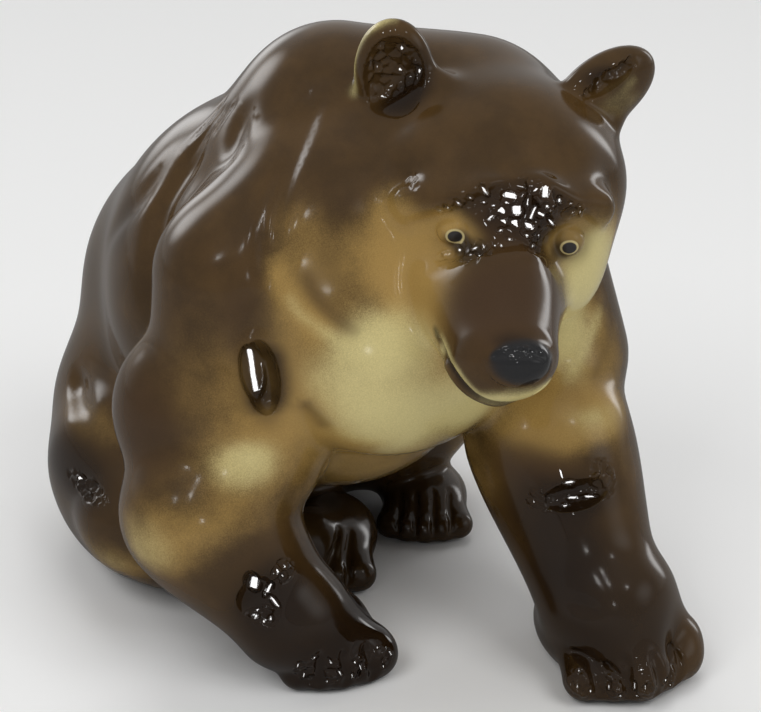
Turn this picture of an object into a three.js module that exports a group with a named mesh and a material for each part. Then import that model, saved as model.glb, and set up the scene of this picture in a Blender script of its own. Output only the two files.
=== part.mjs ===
// A glazed porcelain bear that sits on its haunches with its front legs planted and its head
// turned to its right. It is one hollow casting, modelled here as one closed solid.
// Millimetres, +Z up, the bear faces -Y, and its soles and rump stand on z = 0.
import * as THREE from 'three';

// The skin
const cell = 3;               // spacing of the grid that the skin is read from
const mostFaces = 8400;       // triangles left once the even parts of the skin are thinned
const reach = [-96, -84, -7, 96, 186, 215];   // box that holds the whole bear
const centre = [-4.3, 49.3];                  // middle of the footprint, moved to the origin
const openSpace = 60;         // distance given to grid points far from every form
const margin = 6;             // how far past its own edge a form still counts
const shallowest = 0.05;      // least depth by which an open corner counts as open
const fillShare = 0.2;        // share of that depth by which a filled corner turns solid
const pullShare = 0.02;       // how hard a merged point is drawn to the middle of its edge
const evenness = 0.0004;      // what long edges cost, which keeps the triangles even
const mostEdges = 9;          // edges that may meet in one point
const leastAgreement = 0.4;   // how far a face may turn in one merge, as a cosine
const radians = Math.PI / 180;

// Each ball is an ellipsoid: its middle, its half sizes, its turn in degrees about X, Y and Z,
// and the width over which it melts into what came before it.
const trunk = {
  rump: { at: [-1, 115, 45], half: [66, 50, 53], melt: 10 },
  rightHaunch: { at: [-46, 94, 32], half: [30, 41, 36], turn: [0, 0, 7], melt: 10 },
  leftHaunch: { at: [47, 100, 37], half: [31, 41, 34], turn: [0, 0, -9], melt: 10 },
  loin: { at: [-2, 107, 86], half: [53, 54, 56], turn: [-30, 0, 0], melt: 18 },
  ribs: { at: [-3, 71, 101], half: [60, 54, 61], turn: [-20, 0, 0], melt: 18 },
  back: { at: [-2, 86, 125], half: [46, 59, 36], turn: [-37, 0, 0], melt: 16 },
  hump: { at: [0, 52, 152], half: [36, 36, 31], melt: 14 },
  shoulders: { at: [2, 28, 128], half: [62, 38, 48], melt: 16 },
  chest: { at: [-2, 6, 106], half: [42, 31, 35], melt: 16 },
  belly: { at: [2, 48, 82.5], half: [46, 43, 40], melt: 14 },
  tail: { at: [0, 153, 34], half: [13, 14, 16], melt: 14 },
};

// Each bone is a round limb between two points, with a radius at either end.
const neck = { from: [4, 51, 160], to: [35, 26, 155], radii: [33.5, 35.5], melt: 8 };
const frontLegs = {
  rightUpper: { from: [-43, 33, 128], to: [-48, 28, 76], radii: [25.5, 28.5], melt: 12 },
  rightLower: { from: [-63, 23, 58], to: [-42, 8, 21.5], radii: [25.7, 18.2], melt: 10 },
  leftUpper: { from: [50, 15, 119.5], to: [52.5, 4, 89], radii: [26, 26.5], melt: 12 },
  leftLower: { from: [42, -12.5, 69.5], to: [42, -42, 25], radii: [26.6, 20.2], melt: 10 },
};
const rightElbow = { at: [-64, 38, 85], half: [18, 21, 25], melt: 10 };
const hindLegs = {
  rightThigh: { from: [-46, 94, 40], to: [-58, 76, 31], radii: [31, 21], melt: 12 },
  rightShin: { from: [-53.5, 65, 24], to: [-8, 54, 14], radii: [16, 12], melt: 8 },
  leftThigh: { from: [50, 100, 44], to: [60, 77, 41], radii: [30, 18], melt: 12 },
  leftShin: { from: [55, 77, 30], to: [47.5, 77, 14], radii: [13, 9.5], melt: 8 },
};

// Paws: where the middle of the sole stands, the way it points in degrees, and its scale.
const paws = {
  frontRight: { at: [-29.5, 5, 0], points: -13, scale: 0.92 },
  frontLeft: { at: [46, -42.5, 0], points: -12, scale: 1.12 },
  hindRight: { at: [1, 57, 0], points: -40, scale: 0.95 },
  hindLeft: { at: [48, 65, 0], points: -34, scale: 0.82 },
};
const pad = { at: [0, 5, 10], half: [18.5, 23, 14], melt: 8 };
const toe = { root: 0.72, rootBack: -2, rootHigh: 11.5, high: 6.8, radii: [6.6, 6.3], melt: 2.2 };
const toeRow = [-14.5, -7.6, 0, 7.6, 14.5];   // across the paw
const toeTip = 14.5;                          // how far the outer toes reach forward
const toeArch = 3.5;                          // how much further the middle toe reaches

// Head, in its own frame: x to the bear's left, y to the back, z up, from the skull's middle.
const head = { at: [27.7, 0, 153], turn: [10, 3, -30] };
const skull = { at: [0, 2, 0], half: [40, 36.7, 33], melt: 10 };
const cheek = { at: [17.3, -8, -16], half: [17.4, 26.2, 22.8], melt: 10 };
const jowl = { at: [21.5, 8, -16], half: [13.6, 24, 24], melt: 10 };
const muzzle = { from: [-1, -26, -7], to: [0, -64, -17], radii: [18.5, 12.6], melt: 14 };
const lip = { from: [13, -36, -19], to: [5.5, -64, -21.5], radii: [9.5, 6.8], melt: 8 };
const nose = { at: [1, -72.5, -14], half: [9, 6.5, 6.8], melt: 3 };
const jaw = { from: [0, -24, -25], to: [0, -61, -28], radii: [14, 7.5], melt: 8 };
const brow = { from: [27, -23, 7], to: [8, -29.5, 13], radii: [6, 6], melt: 10 };
const socket = { at: [17.5, -37, 1], half: [9, 9, 7], depth: 2.5 };
const ears = {
  right: { at: [-30.7, 9, 21], turn: [0, -5, -9] },
  left: { at: [24, 10, 21], turn: [0, 62, 22] },
};
const earShell = { at: [0, 0, 9.5], half: [12, 7, 18], melt: 4 };
const earHollow = { at: [0, -6.5, 10.5], half: [9, 6.5, 14], melt: 2 };

// Folds of the hide: creases that follow a line, with a half width and a depth.
const folds = {
  neck: {
    path: [[-5, 33, 187], [-25, 30, 172], [-40, 15, 159], [-48, 7, 140], [-47, 4, 125]],
    width: 4.5, depth: 3,
  },
  blade: { path: [[-21, 47, 182], [-31, 49, 168], [-37, 44, 161], [-46, 29, 159]], width: 5, depth: 2 },
  shoulder: {
    path: [[-29, 57, 171], [-42, 65, 150], [-50, 65, 139], [-55, 63, 128], [-64, 52, 116]],
    width: 5, depth: 3.5,
  },
  flank: { path: [[-31, 72, 162], [-43, 75, 150], [-53, 78, 136], [-55, 95, 120]], width: 4, depth: 2 },
  haunch: { path: [[-60, 118, 62], [-70, 98, 62], [-72, 80, 62], [-66, 66, 60]], width: 5, depth: 4 },
};
const shoulderHollow = { at: [-51, 3, 107], half: [5, 7, 12], depth: 4 };

// A frame of its own for a paw, the head or an ear: a place, a turn and a scale.
function frameAt(at = [0, 0, 0], turn = [0, 0, 0], scale = 1, parent = null) {
  const basis = new THREE.Matrix4().makeRotationFromEuler(
    new THREE.Euler(turn[0] * radians, turn[1] * radians, turn[2] * radians, 'ZXY'));
  const placed = new THREE.Matrix4().makeTranslation(at[0], at[1], at[2]).multiply(basis);
  const matrix = parent ? parent.matrix.clone().multiply(placed) : placed;
  return { matrix, scale };
}
const body = frameAt();

// The bear is a list of steps. Each gives a distance at a point and says how it joins the rest.
const steps = [];

function addStep(kind, middle, radius, melt, distance) {
  steps.push({ kind, middle, radius, melt, distance });
}

function addBall(form, frame = body, kind = 'join', side = 1) {
  const own = frameAt([form.at[0] * side * frame.scale, form.at[1] * frame.scale, form.at[2] * frame.scale],
    form.turn, 1, frame);
  const inverse = own.matrix.clone().invert().elements;
  const [a, b, c] = form.half.map((half) => half * frame.scale);
  const middle = new THREE.Vector3().setFromMatrixPosition(own.matrix);
  const melt = (form.melt ?? 0) * frame.scale;
  addStep(kind, middle, Math.max(a, b, c) + melt, melt, (x, y, z) => {
    const u = inverse[0] * x + inverse[4] * y + inverse[8] * z + inverse[12];
    const v = inverse[1] * x + inverse[5] * y + inverse[9] * z + inverse[13];
    const w = inverse[2] * x + inverse[6] * y + inverse[10] * z + inverse[14];
    const near = Math.hypot(u / a, v / b, w / c);
    const slope = Math.hypot(u / (a * a), v / (b * b), w / (c * c));
    return near * (near - 1) / Math.max(slope, 1e-9);
  });
}

// A soft dent: the skin sinks by its depth at the middle and fades out over its half sizes.
function addDent(form, frame = body, side = 1) {
  const own = frameAt([form.at[0] * side, form.at[1], form.at[2]], form.turn, 1, frame);
  const inverse = own.matrix.clone().invert().elements;
  const [a, b, c] = form.half;
  const middle = new THREE.Vector3().setFromMatrixPosition(own.matrix);
  addStep('shift', middle, Math.max(a, b, c) * 2.6, 0, (x, y, z) => {
    const u = inverse[0] * x + inverse[4] * y + inverse[8] * z + inverse[12];
    const v = inverse[1] * x + inverse[5] * y + inverse[9] * z + inverse[13];
    const w = inverse[2] * x + inverse[6] * y + inverse[10] * z + inverse[14];
    return form.depth * Math.exp(-((u / a) ** 2 + (v / b) ** 2 + (w / c) ** 2));
  });
}

function inFrame(point, frame, side = 1) {
  const [x, y, z] = point;
  return new THREE.Vector3(x * side, y, z).multiplyScalar(frame.scale).applyMatrix4(frame.matrix);
}

function smooth(t) {
  return t * t * (3 - 2 * t);
}

function addBone(form, frame = body, side = 1) {
  const from = inFrame(form.from, frame, side);
  const to = inFrame(form.to, frame, side);
  const along = to.clone().sub(from);
  const lengthSquared = along.lengthSq();
  const [first, last] = form.radii.map((radius) => radius * frame.scale);
  const melt = form.melt * frame.scale;
  const middle = from.clone().add(to).multiplyScalar(0.5);
  addStep('join', middle, along.length() / 2 + Math.max(first, last) + melt, melt, (x, y, z) => {
    const dx = x - from.x;
    const dy = y - from.y;
    const dz = z - from.z;
    const share = (dx * along.x + dy * along.y + dz * along.z) / lengthSquared;
    const t = Math.min(Math.max(share, 0), 1);
    const away = Math.hypot(dx - t * along.x, dy - t * along.y, dz - t * along.z);
    return away - (first + (last - first) * smooth(t));
  });
}

// A fold: the skin sinks along a path, less towards both of its ends.
function addFold(form) {
  const path = form.path.map((point) => new THREE.Vector3(...point));
  const middle = path.reduce((sum, point) => sum.add(point), new THREE.Vector3()).divideScalar(path.length);
  const radius = Math.max(...path.map((point) => point.distanceTo(middle))) + 3 * form.width;
  const lengths = path.slice(1).map((point, i) => point.distanceTo(path[i]));
  const total = lengths.reduce((sum, length) => sum + length, 0);
  addStep('shift', middle, radius, 0, (x, y, z) => {
    let nearest = Infinity;
    let share = 0;
    let walked = 0;
    lengths.forEach((length, i) => {
      const a = path[i];
      const b = path[i + 1];
      const dot = (x - a.x) * (b.x - a.x) + (y - a.y) * (b.y - a.y) + (z - a.z) * (b.z - a.z);
      const t = Math.min(Math.max(dot / (length * length), 0), 1);
      const foot = a.clone().lerp(b, t);
      const away = Math.hypot(x - foot.x, y - foot.y, z - foot.z);
      if (away < nearest) {
        nearest = away;
        share = (walked + t * length) / total;
      }
      walked += length;
    });
    const fade = smooth(Math.min(Math.min(share, 1 - share) * 4, 1));
    return form.depth * fade * Math.exp(-((nearest / form.width) ** 2));
  });
}

function addPaw(form) {
  const frame = frameAt(form.at, [0, 0, form.points], form.scale);
  addBall(pad, frame);
  const widest = toeRow[toeRow.length - 1];
  for (const x of toeRow) {
    const tip = -toeTip - toeArch * (1 - (x / widest) ** 2);
    const root = [x * toe.root, toe.rootBack, toe.rootHigh];
    addBone({ from: root, to: [x, tip, toe.high], radii: toe.radii, melt: toe.melt }, frame);
  }
}

function addHead() {
  const frame = frameAt(head.at, head.turn);
  addBall(skull, frame);
  for (const side of [-1, 1]) {
    addBall(cheek, frame, 'join', side);
    addBall(jowl, frame, 'join', side);
  }
  addBone(muzzle, frame);
  addBone(lip, frame, -1);
  addBone(lip, frame, 1);
  addBall(nose, frame);
  addBone(jaw, frame);
  for (const ear of [ears.right, ears.left]) {
    const own = frameAt(ear.at, ear.turn, 1, frame);
    addBall(earShell, own);
    addBall(earHollow, own, 'cut');
  }
  for (const side of [-1, 1]) {
    addBone(brow, frame, side);
    addDent(socket, frame, side);
  }
}

function addBear() {
  const { tail, ...masses } = trunk;
  Object.values(masses).forEach((form) => addBall(form));
  addBone(neck);
  addBone(frontLegs.rightUpper);
  addBall(rightElbow);
  addBone(frontLegs.rightLower);
  addBone(frontLegs.leftUpper);
  addBone(frontLegs.leftLower);
  addPaw(paws.frontRight);
  addPaw(paws.frontLeft);
  addBone(hindLegs.rightThigh);
  addBone(hindLegs.rightShin);
  addPaw(paws.hindRight);
  addBone(hindLegs.leftThigh);
  addBone(hindLegs.leftShin);
  addPaw(paws.hindLeft);
  addBall(tail);
  addHead();
  Object.values(folds).forEach(addFold);
  addDent(shoulderHollow);
}

// Two distances joined with a rounded seam of the given width.
function meltTogether(a, b, width) {
  const h = Math.max(width - Math.abs(a - b), 0) / Math.max(width, 0.01);
  return Math.min(a, b) - h * h * h * width / 6;
}

// The distances on a grid over the whole box; the floor cuts the solid flat.
function sampleGrid() {
  const low = reach.slice(0, 3);
  const count = [0, 1, 2].map((axis) => Math.ceil((reach[axis + 3] - low[axis]) / cell) + 1);
  const values = new Float64Array(count[0] * count[1] * count[2]).fill(openSpace);
  const index = (i, j, k) => (i * count[1] + j) * count[2] + k;
  for (const step of steps) {
    const wide = step.radius + (step.kind === 'shift' ? 0 : margin);
    const middle = step.middle.toArray();
    const first = middle.map((value, axis) => Math.max(0, Math.floor((value - wide - low[axis]) / cell)));
    const last = middle.map((value, axis) =>
      Math.min(count[axis], Math.floor((value + wide - low[axis]) / cell) + 2));
    for (let i = first[0]; i < last[0]; i += 1) {
      for (let j = first[1]; j < last[1]; j += 1) {
        for (let k = first[2]; k < last[2]; k += 1) {
          const here = index(i, j, k);
          const d = step.distance(low[0] + i * cell, low[1] + j * cell, low[2] + k * cell);
          if (step.kind === 'join') values[here] = meltTogether(values[here], d, step.melt);
          if (step.kind === 'cut') values[here] = -meltTogether(-values[here], d, step.melt);
          if (step.kind === 'shift') values[here] += d;
        }
      }
    }
  }
  for (let i = 0; i < count[0]; i += 1) {
    for (let j = 0; j < count[1]; j += 1) {
      for (let k = 0; k < count[2]; k += 1) {
        const here = index(i, j, k);
        values[here] = Math.max(values[here], -(low[2] + k * cell));
      }
    }
  }
  return { low, count, values, index };
}

const corners = [0, 1, 2, 3, 4, 5, 6, 7].map((n) => [n >> 2, (n >> 1) & 1, n & 1]);
const sides = [[0, 1, 3, 2], [4, 5, 7, 6], [0, 1, 5, 4], [2, 3, 7, 6], [0, 2, 6, 4], [1, 3, 7, 5]];

// In a tangled cell the solid touches itself along an edge or at a point.
function isTangled(inside) {
  const crossed = sides.some(([a, b, c, d]) =>
    inside[a] === inside[c] && inside[b] === inside[d] && inside[a] !== inside[b]);
  const count = inside.filter(Boolean).length;
  const pair = [0, 1, 2, 3].some((n) => inside[n] === inside[7 - n]
    && inside.every((value, m) => m === n || m === 7 - n || value !== inside[n]));
  return crossed || ((count === 2 || count === 6) && pair);
}

// Fills the shallowest open corner of every tangled cell, so that the skin closes cleanly.
function untangle({ count, values, index }) {
  let tangled = true;
  while (tangled) {
    tangled = false;
    for (let i = 0; i < count[0] - 1; i += 1) {
      for (let j = 0; j < count[1] - 1; j += 1) {
        for (let k = 0; k < count[2] - 1; k += 1) {
          const cellCorners = corners.map(([a, b, c]) => index(i + a, j + b, k + c));
          const inside = cellCorners.map((n) => values[n] < 0);
          if (inside.every((value) => value === inside[0]) || !isTangled(inside)) continue;
          const open = cellCorners.filter((n) => values[n] >= 0);
          const shallow = open.reduce((best, n) => (values[n] < values[best] ? n : best));
          values[shallow] = -fillShare * Math.max(values[shallow], shallowest);
          tangled = true;
        }
      }
    }
  }
}

// The skin: one point in each grid cell that the surface passes through, joined by four-sided
// faces around every grid edge that it crosses.
function readSkin(grid) {
  const { low, count, values, index } = grid;
  const [nx, ny, nz] = count;
  const pointOf = new Int32Array(nx * ny * nz).fill(-1);
  const points = [];
  for (let i = 0; i < nx - 1; i += 1) {
    for (let j = 0; j < ny - 1; j += 1) {
      for (let k = 0; k < nz - 1; k += 1) {
        const sum = [0, 0, 0];
        let crossings = 0;
        for (const corner of corners) {
          const here = values[index(i + corner[0], j + corner[1], k + corner[2])];
          for (let axis = 0; axis < 3; axis += 1) {
            if (corner[axis]) continue;
            const next = [...corner];
            next[axis] = 1;
            const there = values[index(i + next[0], j + next[1], k + next[2])];
            if (here < 0 === there < 0) continue;
            const t = here / (here - there);
            crossings += 1;
            for (let n = 0; n < 3; n += 1) sum[n] += corner[n] + (n === axis ? t : 0);
          }
        }
        if (!crossings) continue;
        pointOf[index(i, j, k)] = points.length;
        points.push([i, j, k].map((n, axis) => low[axis] + cell * (n + sum[axis] / crossings)));
      }
    }
  }
  const faces = [];
  const addQuad = (quad) => {
    const [a, b, c, d] = quad;
    const across = (p, q) => Math.hypot(...points[p].map((value, n) => value - points[q][n]));
    if (across(a, c) <= across(b, d)) faces.push([a, b, c], [a, c, d]);
    else faces.push([b, c, d], [b, d, a]);
  };
  for (let i = 1; i < nx - 1; i += 1) {
    for (let j = 1; j < ny - 1; j += 1) {
      for (let k = 1; k < nz - 1; k += 1) {
        const inside = values[index(i, j, k)] < 0;
        const around = [
          [[i + 1, j, k], [[0, 1, 1], [0, 0, 1], [0, 0, 0], [0, 1, 0]]],
          [[i, j + 1, k], [[1, 0, 1], [1, 0, 0], [0, 0, 0], [0, 0, 1]]],
          [[i, j, k + 1], [[1, 1, 0], [0, 1, 0], [0, 0, 0], [1, 0, 0]]],
        ];
        for (const [next, offsets] of around) {
          if (values[index(...next)] < 0 === inside) continue;
          const quad = offsets.map(([di, dj, dk]) => pointOf[index(i - di, j - dj, k - dk)]);
          addQuad(inside ? quad : quad.reverse());
        }
      }
    }
  }
  return { points, faces };
}

// A heap that hands back the cheapest entry first.
class Heap {
  constructor() {
    this.items = [];
  }

  push(item) {
    const { items } = this;
    let at = items.push(item) - 1;
    while (at > 0) {
      const up = (at - 1) >> 1;
      if (items[up].cost <= items[at].cost) break;
      [items[up], items[at]] = [items[at], items[up]];
      at = up;
    }
  }

  pop() {
    const { items } = this;
    const top = items[0];
    const last = items.pop();
    if (items.length) {
      items[0] = last;
      let at = 0;
      for (;;) {
        const left = at * 2 + 1;
        if (left >= items.length) break;
        const right = left + 1;
        const child = right < items.length && items[right].cost < items[left].cost ? right : left;
        if (items[at].cost <= items[child].cost) break;
        [items[child], items[at]] = [items[at], items[child]];
        at = child;
      }
    }
    return top;
  }
}

function cross(a, b, c) {
  const u = [b[0] - a[0], b[1] - a[1], b[2] - a[2]];
  const v = [c[0] - a[0], c[1] - a[1], c[2] - a[2]];
  return [u[1] * v[2] - u[2] * v[1], u[2] * v[0] - u[0] * v[2], u[0] * v[1] - u[1] * v[0]];
}

// Thins the skin edge by edge where that moves it least. Edges are kept where the collapse
// would fold a face over or pinch the solid, and the flat soles stay flat.
function thinSkin(skin, most) {
  const { points, faces } = skin;
  const errors = points.map(() => new Float64Array(10));
  const around = points.map(() => new Set());
  const versions = new Int32Array(points.length);
  const onFloor = points.map((point) => Math.abs(point[2]) < 1e-6);
  faces.forEach((face, f) => {
    const normal = cross(...face.map((p) => points[p]));
    const size = Math.hypot(...normal) || 1;
    const [a, b, c] = normal.map((value) => value / size);
    const d = -(a * points[face[0]][0] + b * points[face[0]][1] + c * points[face[0]][2]);
    const plane = [a * a, a * b, a * c, a * d, b * b, b * c, b * d, c * c, c * d, d * d];
    for (const p of face) {
      around[p].add(f);
      plane.forEach((value, n) => { errors[p][n] += value * size; });
    }
  });
  const neighbours = (p) => {
    const found = new Set();
    for (const f of around[p]) faces[f].forEach((q) => found.add(q));
    found.delete(p);
    return found;
  };
  const costAt = (e, [x, y, z]) => e[0] * x * x + 2 * e[1] * x * y + 2 * e[2] * x * z + 2 * e[3] * x
    + e[4] * y * y + 2 * e[5] * y * z + 2 * e[6] * y + e[7] * z * z + 2 * e[8] * z + e[9];
  const bestPoint = (p, q) => {
    const e = errors[p].map((value, n) => value + errors[q][n]);
    const mid = points[p].map((value, n) => (value + points[q][n]) / 2);
    const pull = pullShare * (e[0] + e[4] + e[7]);
    const m = new THREE.Matrix3().set(
      e[0] + pull, e[1], e[2], e[1], e[4] + pull, e[5], e[2], e[5], e[7] + pull);
    const right = new THREE.Vector3(pull * mid[0] - e[3], pull * mid[1] - e[6], pull * mid[2] - e[8]);
    const spot = m.determinant() > 1e-12 ? right.applyMatrix3(m.invert()).toArray() : mid;
    const far = Math.hypot(...spot.map((value, n) => value - mid[n]));
    const point = far < 2 * cell ? spot : mid;
    if (onFloor[p]) point[2] = 0;
    const spread = Math.hypot(...points[p].map((value, n) => value - points[q][n]));
    return { point, cost: costAt(e, point) + evenness * spread ** 4 };
  };
  const heap = new Heap();
  const offer = (p, q) => {
    if (onFloor[p] !== onFloor[q]) return;
    const { point, cost } = bestPoint(p, q);
    heap.push({ cost, point, p, q, stampP: versions[p], stampQ: versions[q] });
  };
  points.forEach((point, p) => {
    for (const q of neighbours(p)) if (p < q) offer(p, q);
  });
  let left = faces.length;
  while (left > most && heap.items.length) {
    const { p, q, point, stampP, stampQ } = heap.pop();
    if (versions[p] !== stampP || versions[q] !== stampQ) continue;
    const nearP = neighbours(p);
    const nearQ = neighbours(q);
    const shared = [...nearP].filter((n) => nearQ.has(n));
    if (shared.length !== 2 || nearP.size + nearQ.size - 4 > mostEdges) continue;
    const flips = [p, q].some((end) => [...around[end]].some((f) => {
      const face = faces[f];
      if (face.includes(p) && face.includes(q)) return false;
      const before = cross(...face.map((n) => points[n]));
      const after = cross(...face.map((n) => (n === end ? point : points[n])));
      const dot = before[0] * after[0] + before[1] * after[1] + before[2] * after[2];
      return dot < leastAgreement * Math.hypot(...before) * Math.hypot(...after);
    }));
    if (flips) continue;
    points[p] = point;
    errors[q].forEach((value, n) => { errors[p][n] += value; });
    for (const f of [...around[q]]) {
      if (faces[f].includes(p)) {
        faces[f].forEach((n) => around[n].delete(f));
        faces[f] = null;
        left -= 1;
      } else {
        faces[f] = faces[f].map((n) => (n === q ? p : n));
        around[p].add(f);
      }
    }
    around[q].clear();
    versions[p] += 1;
    versions[q] += 1;
    for (const n of neighbours(p)) offer(p, n);
  }
  return { points, faces: faces.filter(Boolean) };
}

function makeGeometry({ points, faces }) {
  const used = new Map();
  const positions = [];
  const indices = faces.flat().map((p) => {
    if (!used.has(p)) {
      used.set(p, used.size);
      positions.push(points[p][0] - centre[0], points[p][1] - centre[1], points[p][2]);
    }
    return used.get(p);
  });
  const geometry = new THREE.BufferGeometry();
  geometry.setAttribute('position', new THREE.Float32BufferAttribute(positions, 3));
  geometry.setIndex(indices);
  geometry.computeVertexNormals();
  return geometry;
}

addBear();
const grid = sampleGrid();
untangle(grid);
const bearGeometry = makeGeometry(thinSkin(readSkin(grid), mostFaces));
const glaze = new THREE.MeshStandardMaterial({ color: 0x4a3721, roughness: 0.08, metalness: 0 });
const bear = new THREE.Mesh(bearGeometry, glaze);
bear.name = 'bear';

const figurine = new THREE.Group();
figurine.add(bear);
export default figurine;
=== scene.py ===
# Porcelain bear: fine glazed skin, airbrushed coat, painted face, and a small photo studio.
# Clay coordinates are millimetres, +Z up, the bear's body faces -Y, soles on z = 0.
import math
import time
import bpy
import numpy as np
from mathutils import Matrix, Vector


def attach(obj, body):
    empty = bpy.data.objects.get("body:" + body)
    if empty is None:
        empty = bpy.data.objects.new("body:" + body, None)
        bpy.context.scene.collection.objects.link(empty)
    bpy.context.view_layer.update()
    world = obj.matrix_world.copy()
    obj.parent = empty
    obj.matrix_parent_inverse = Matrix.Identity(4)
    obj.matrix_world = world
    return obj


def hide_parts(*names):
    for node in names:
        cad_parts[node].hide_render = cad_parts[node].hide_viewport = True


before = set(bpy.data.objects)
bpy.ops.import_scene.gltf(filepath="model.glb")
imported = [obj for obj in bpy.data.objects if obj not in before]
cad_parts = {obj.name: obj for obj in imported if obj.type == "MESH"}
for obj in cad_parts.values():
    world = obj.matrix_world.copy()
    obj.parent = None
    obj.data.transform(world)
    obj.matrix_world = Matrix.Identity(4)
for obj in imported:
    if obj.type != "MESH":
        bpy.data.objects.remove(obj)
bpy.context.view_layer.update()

started = time.time()


def report(stage):
    print(f"{stage} ({time.time() - started:.1f} s)")


# Clay: forms that melt into each other

clayCentre = (-4.3, 49.3, 0.0)      # the footprint's middle in clay coordinates
openSpace = 60.0                    # distance given to points far from every form
spare = 6.0                         # how far past its own reach a solid form is worked out
forms = []


def turnMatrix(turn):
    x, y, z = np.radians(turn)
    aboutX = np.array([[1, 0, 0], [0, np.cos(x), -np.sin(x)], [0, np.sin(x), np.cos(x)]])
    aboutY = np.array([[np.cos(y), 0, np.sin(y)], [0, 1, 0], [-np.sin(y), 0, np.cos(y)]])
    aboutZ = np.array([[np.cos(z), -np.sin(z), 0], [np.sin(z), np.cos(z), 0], [0, 0, 1]])
    return aboutZ @ aboutX @ aboutY


class Spot:      # a place with its own turn and size: the body's, a paw's, the head's or an ear's
    def __init__(self, at=(0, 0, 0), turn=(0, 0, 0), scale=1.0, parent=None):
        self.at = np.array(at, float) if parent is None else parent.toClay(at)
        self.matrix = turnMatrix(turn) if parent is None else parent.matrix @ turnMatrix(turn)
        self.scale = scale if parent is None else parent.scale * scale

    def toClay(self, point):
        return self.at + self.matrix @ (np.array(point, float) * self.scale)

    def fromClay(self, points):
        return (points - self.at) @ self.matrix / self.scale


bodySpot = Spot()


# Camera and small lamps; level glaze on the bear is turned to mirror these lamps to the camera

cameraSizes = {
    "target": (0.0043, -0.0293, 0.095),
    "turn": -33,
    "rise": 25,
    "distance": 0.66,
    "lens": 99.9,
    "sensor": 36.0,
}
glintLamps = {      # turn round the bear and rise, in degrees
    "left": (-74, 32),
    "high": (-52, 38),
    "middle": (-34, 44),
    "low": (-30, 12),
    "right": (6, 38),
}
lampSizes = {"distance": 2.0, "width": 0.06, "height": 0.08, "watts": 0.45}
studioMiddle = (0.0, 0.0, 0.1)


def direction(turn, rise):           # from the bear towards a turn round it and a rise, in degrees
    turn, rise = math.radians(turn), math.radians(rise)
    return np.array([math.sin(turn) * math.cos(rise), -math.cos(turn) * math.cos(rise),
                     math.sin(rise)])


def placeOf(middle, distance, turn, rise):       # in the frame's metres
    return np.array(middle) + distance * direction(turn, rise)


cameraPlace = placeOf(cameraSizes["target"], cameraSizes["distance"], cameraSizes["turn"],
                      cameraSizes["rise"])


def glintWay(point, lamp):           # the way that level glaze at a point faces to mirror a lamp
    lampPlace = placeOf(studioMiddle, lampSizes["distance"], *glintLamps[lamp])
    ways = [1000 * place + np.array(clayCentre) - point for place in (cameraPlace, lampPlace)]
    way = sum(way / np.linalg.norm(way) for way in ways)
    return way / np.linalg.norm(way)


# Forms

def addForm(kind, middle, reach, melt, distance):
    forms.append({"kind": kind, "middle": np.array(middle, float), "reach": reach,
                  "melt": max(melt, 0.01), "distance": distance})


def addBall(at, half, melt=0.0, turn=(0, 0, 0), spot=bodySpot, kind="join"):
    own = Spot(at, turn, 1.0, spot)
    half = np.array(half, float)

    def distance(points):
        local = own.fromClay(points)
        near = np.linalg.norm(local / half, axis=-1)
        slope = np.linalg.norm(local / half ** 2, axis=-1)
        return near * (near - 1) / np.maximum(slope, 1e-9) * own.scale

    size = own.scale
    addForm(kind, own.at, (max(half) + melt) * size, melt * size, distance)


def addBone(start, end, radii, melt, spot=bodySpot):
    a, b = spot.toClay(start), spot.toClay(end)
    first, last = radii[0] * spot.scale, radii[1] * spot.scale
    along = b - a

    def distance(points):
        t = np.clip((points - a) @ along / (along @ along), 0, 1)
        away = np.linalg.norm(points - a - t[..., None] * along, axis=-1)
        return away - (first + (last - first) * t * t * (3 - 2 * t))

    reach = np.linalg.norm(along) / 2 + max(first, last) + melt * spot.scale
    addForm("join", (a + b) / 2, reach, melt * spot.scale, distance)


def alongPath(points, path):         # how far from the path, and how far along it
    nearest = np.full(points.shape[:-1], np.inf)
    share = np.zeros(points.shape[:-1])
    lengths = np.linalg.norm(np.diff(path, axis=0), axis=1)
    walked = 0.0
    for a, b, length in zip(path[:-1], path[1:], lengths):
        t = np.clip((points - a) @ (b - a) / length ** 2, 0, 1)
        away = np.linalg.norm(points - a - t[..., None] * (b - a), axis=-1)
        closer = away < nearest
        nearest = np.where(closer, away, nearest)
        share = np.where(closer, (walked + t * length) / lengths.sum(), share)
        walked += length
    return nearest, share


def addCrease(path, width, depth, spot=bodySpot, fadeShare=0.25):    # a depth below 0 is a ridge
    path = roundPath(np.array([spot.toClay(p) for p in path]))
    middle = path.mean(0)
    width, depth = width * spot.scale, depth * spot.scale

    def distance(points):
        away, share = alongPath(points, path)
        ends = np.clip(np.minimum(share, 1 - share) / fadeShare, 0, 1)
        return depth * ends * ends * (3 - 2 * ends) * np.exp(-(away / width) ** 2)

    reach = np.linalg.norm(path - middle, axis=1).max() + 3 * width
    addForm("shift", middle, reach, 0, distance)


def roundPath(path, rounds=2):       # cuts the corners of a path so that it bends smoothly
    for _ in range(rounds):
        cut = [path[0]]
        for a, b in zip(path[:-1], path[1:]):
            cut += [a * 0.75 + b * 0.25, a * 0.25 + b * 0.75]
        path = np.array(cut + [path[-1]])
    return path


def addDent(at, half, depth, turn=(0, 0, 0), spot=bodySpot, steep=1.0):    # below 0 is a swell
    own = Spot(at, turn, 1.0, spot)
    half = np.array(half, float)

    def distance(points):
        local = own.fromClay(points)
        return depth * own.scale * np.exp(-((local / half) ** 2).sum(-1) ** steep)

    addForm("shift", own.at, max(half) * 2.6 * own.scale, 0, distance)


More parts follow.
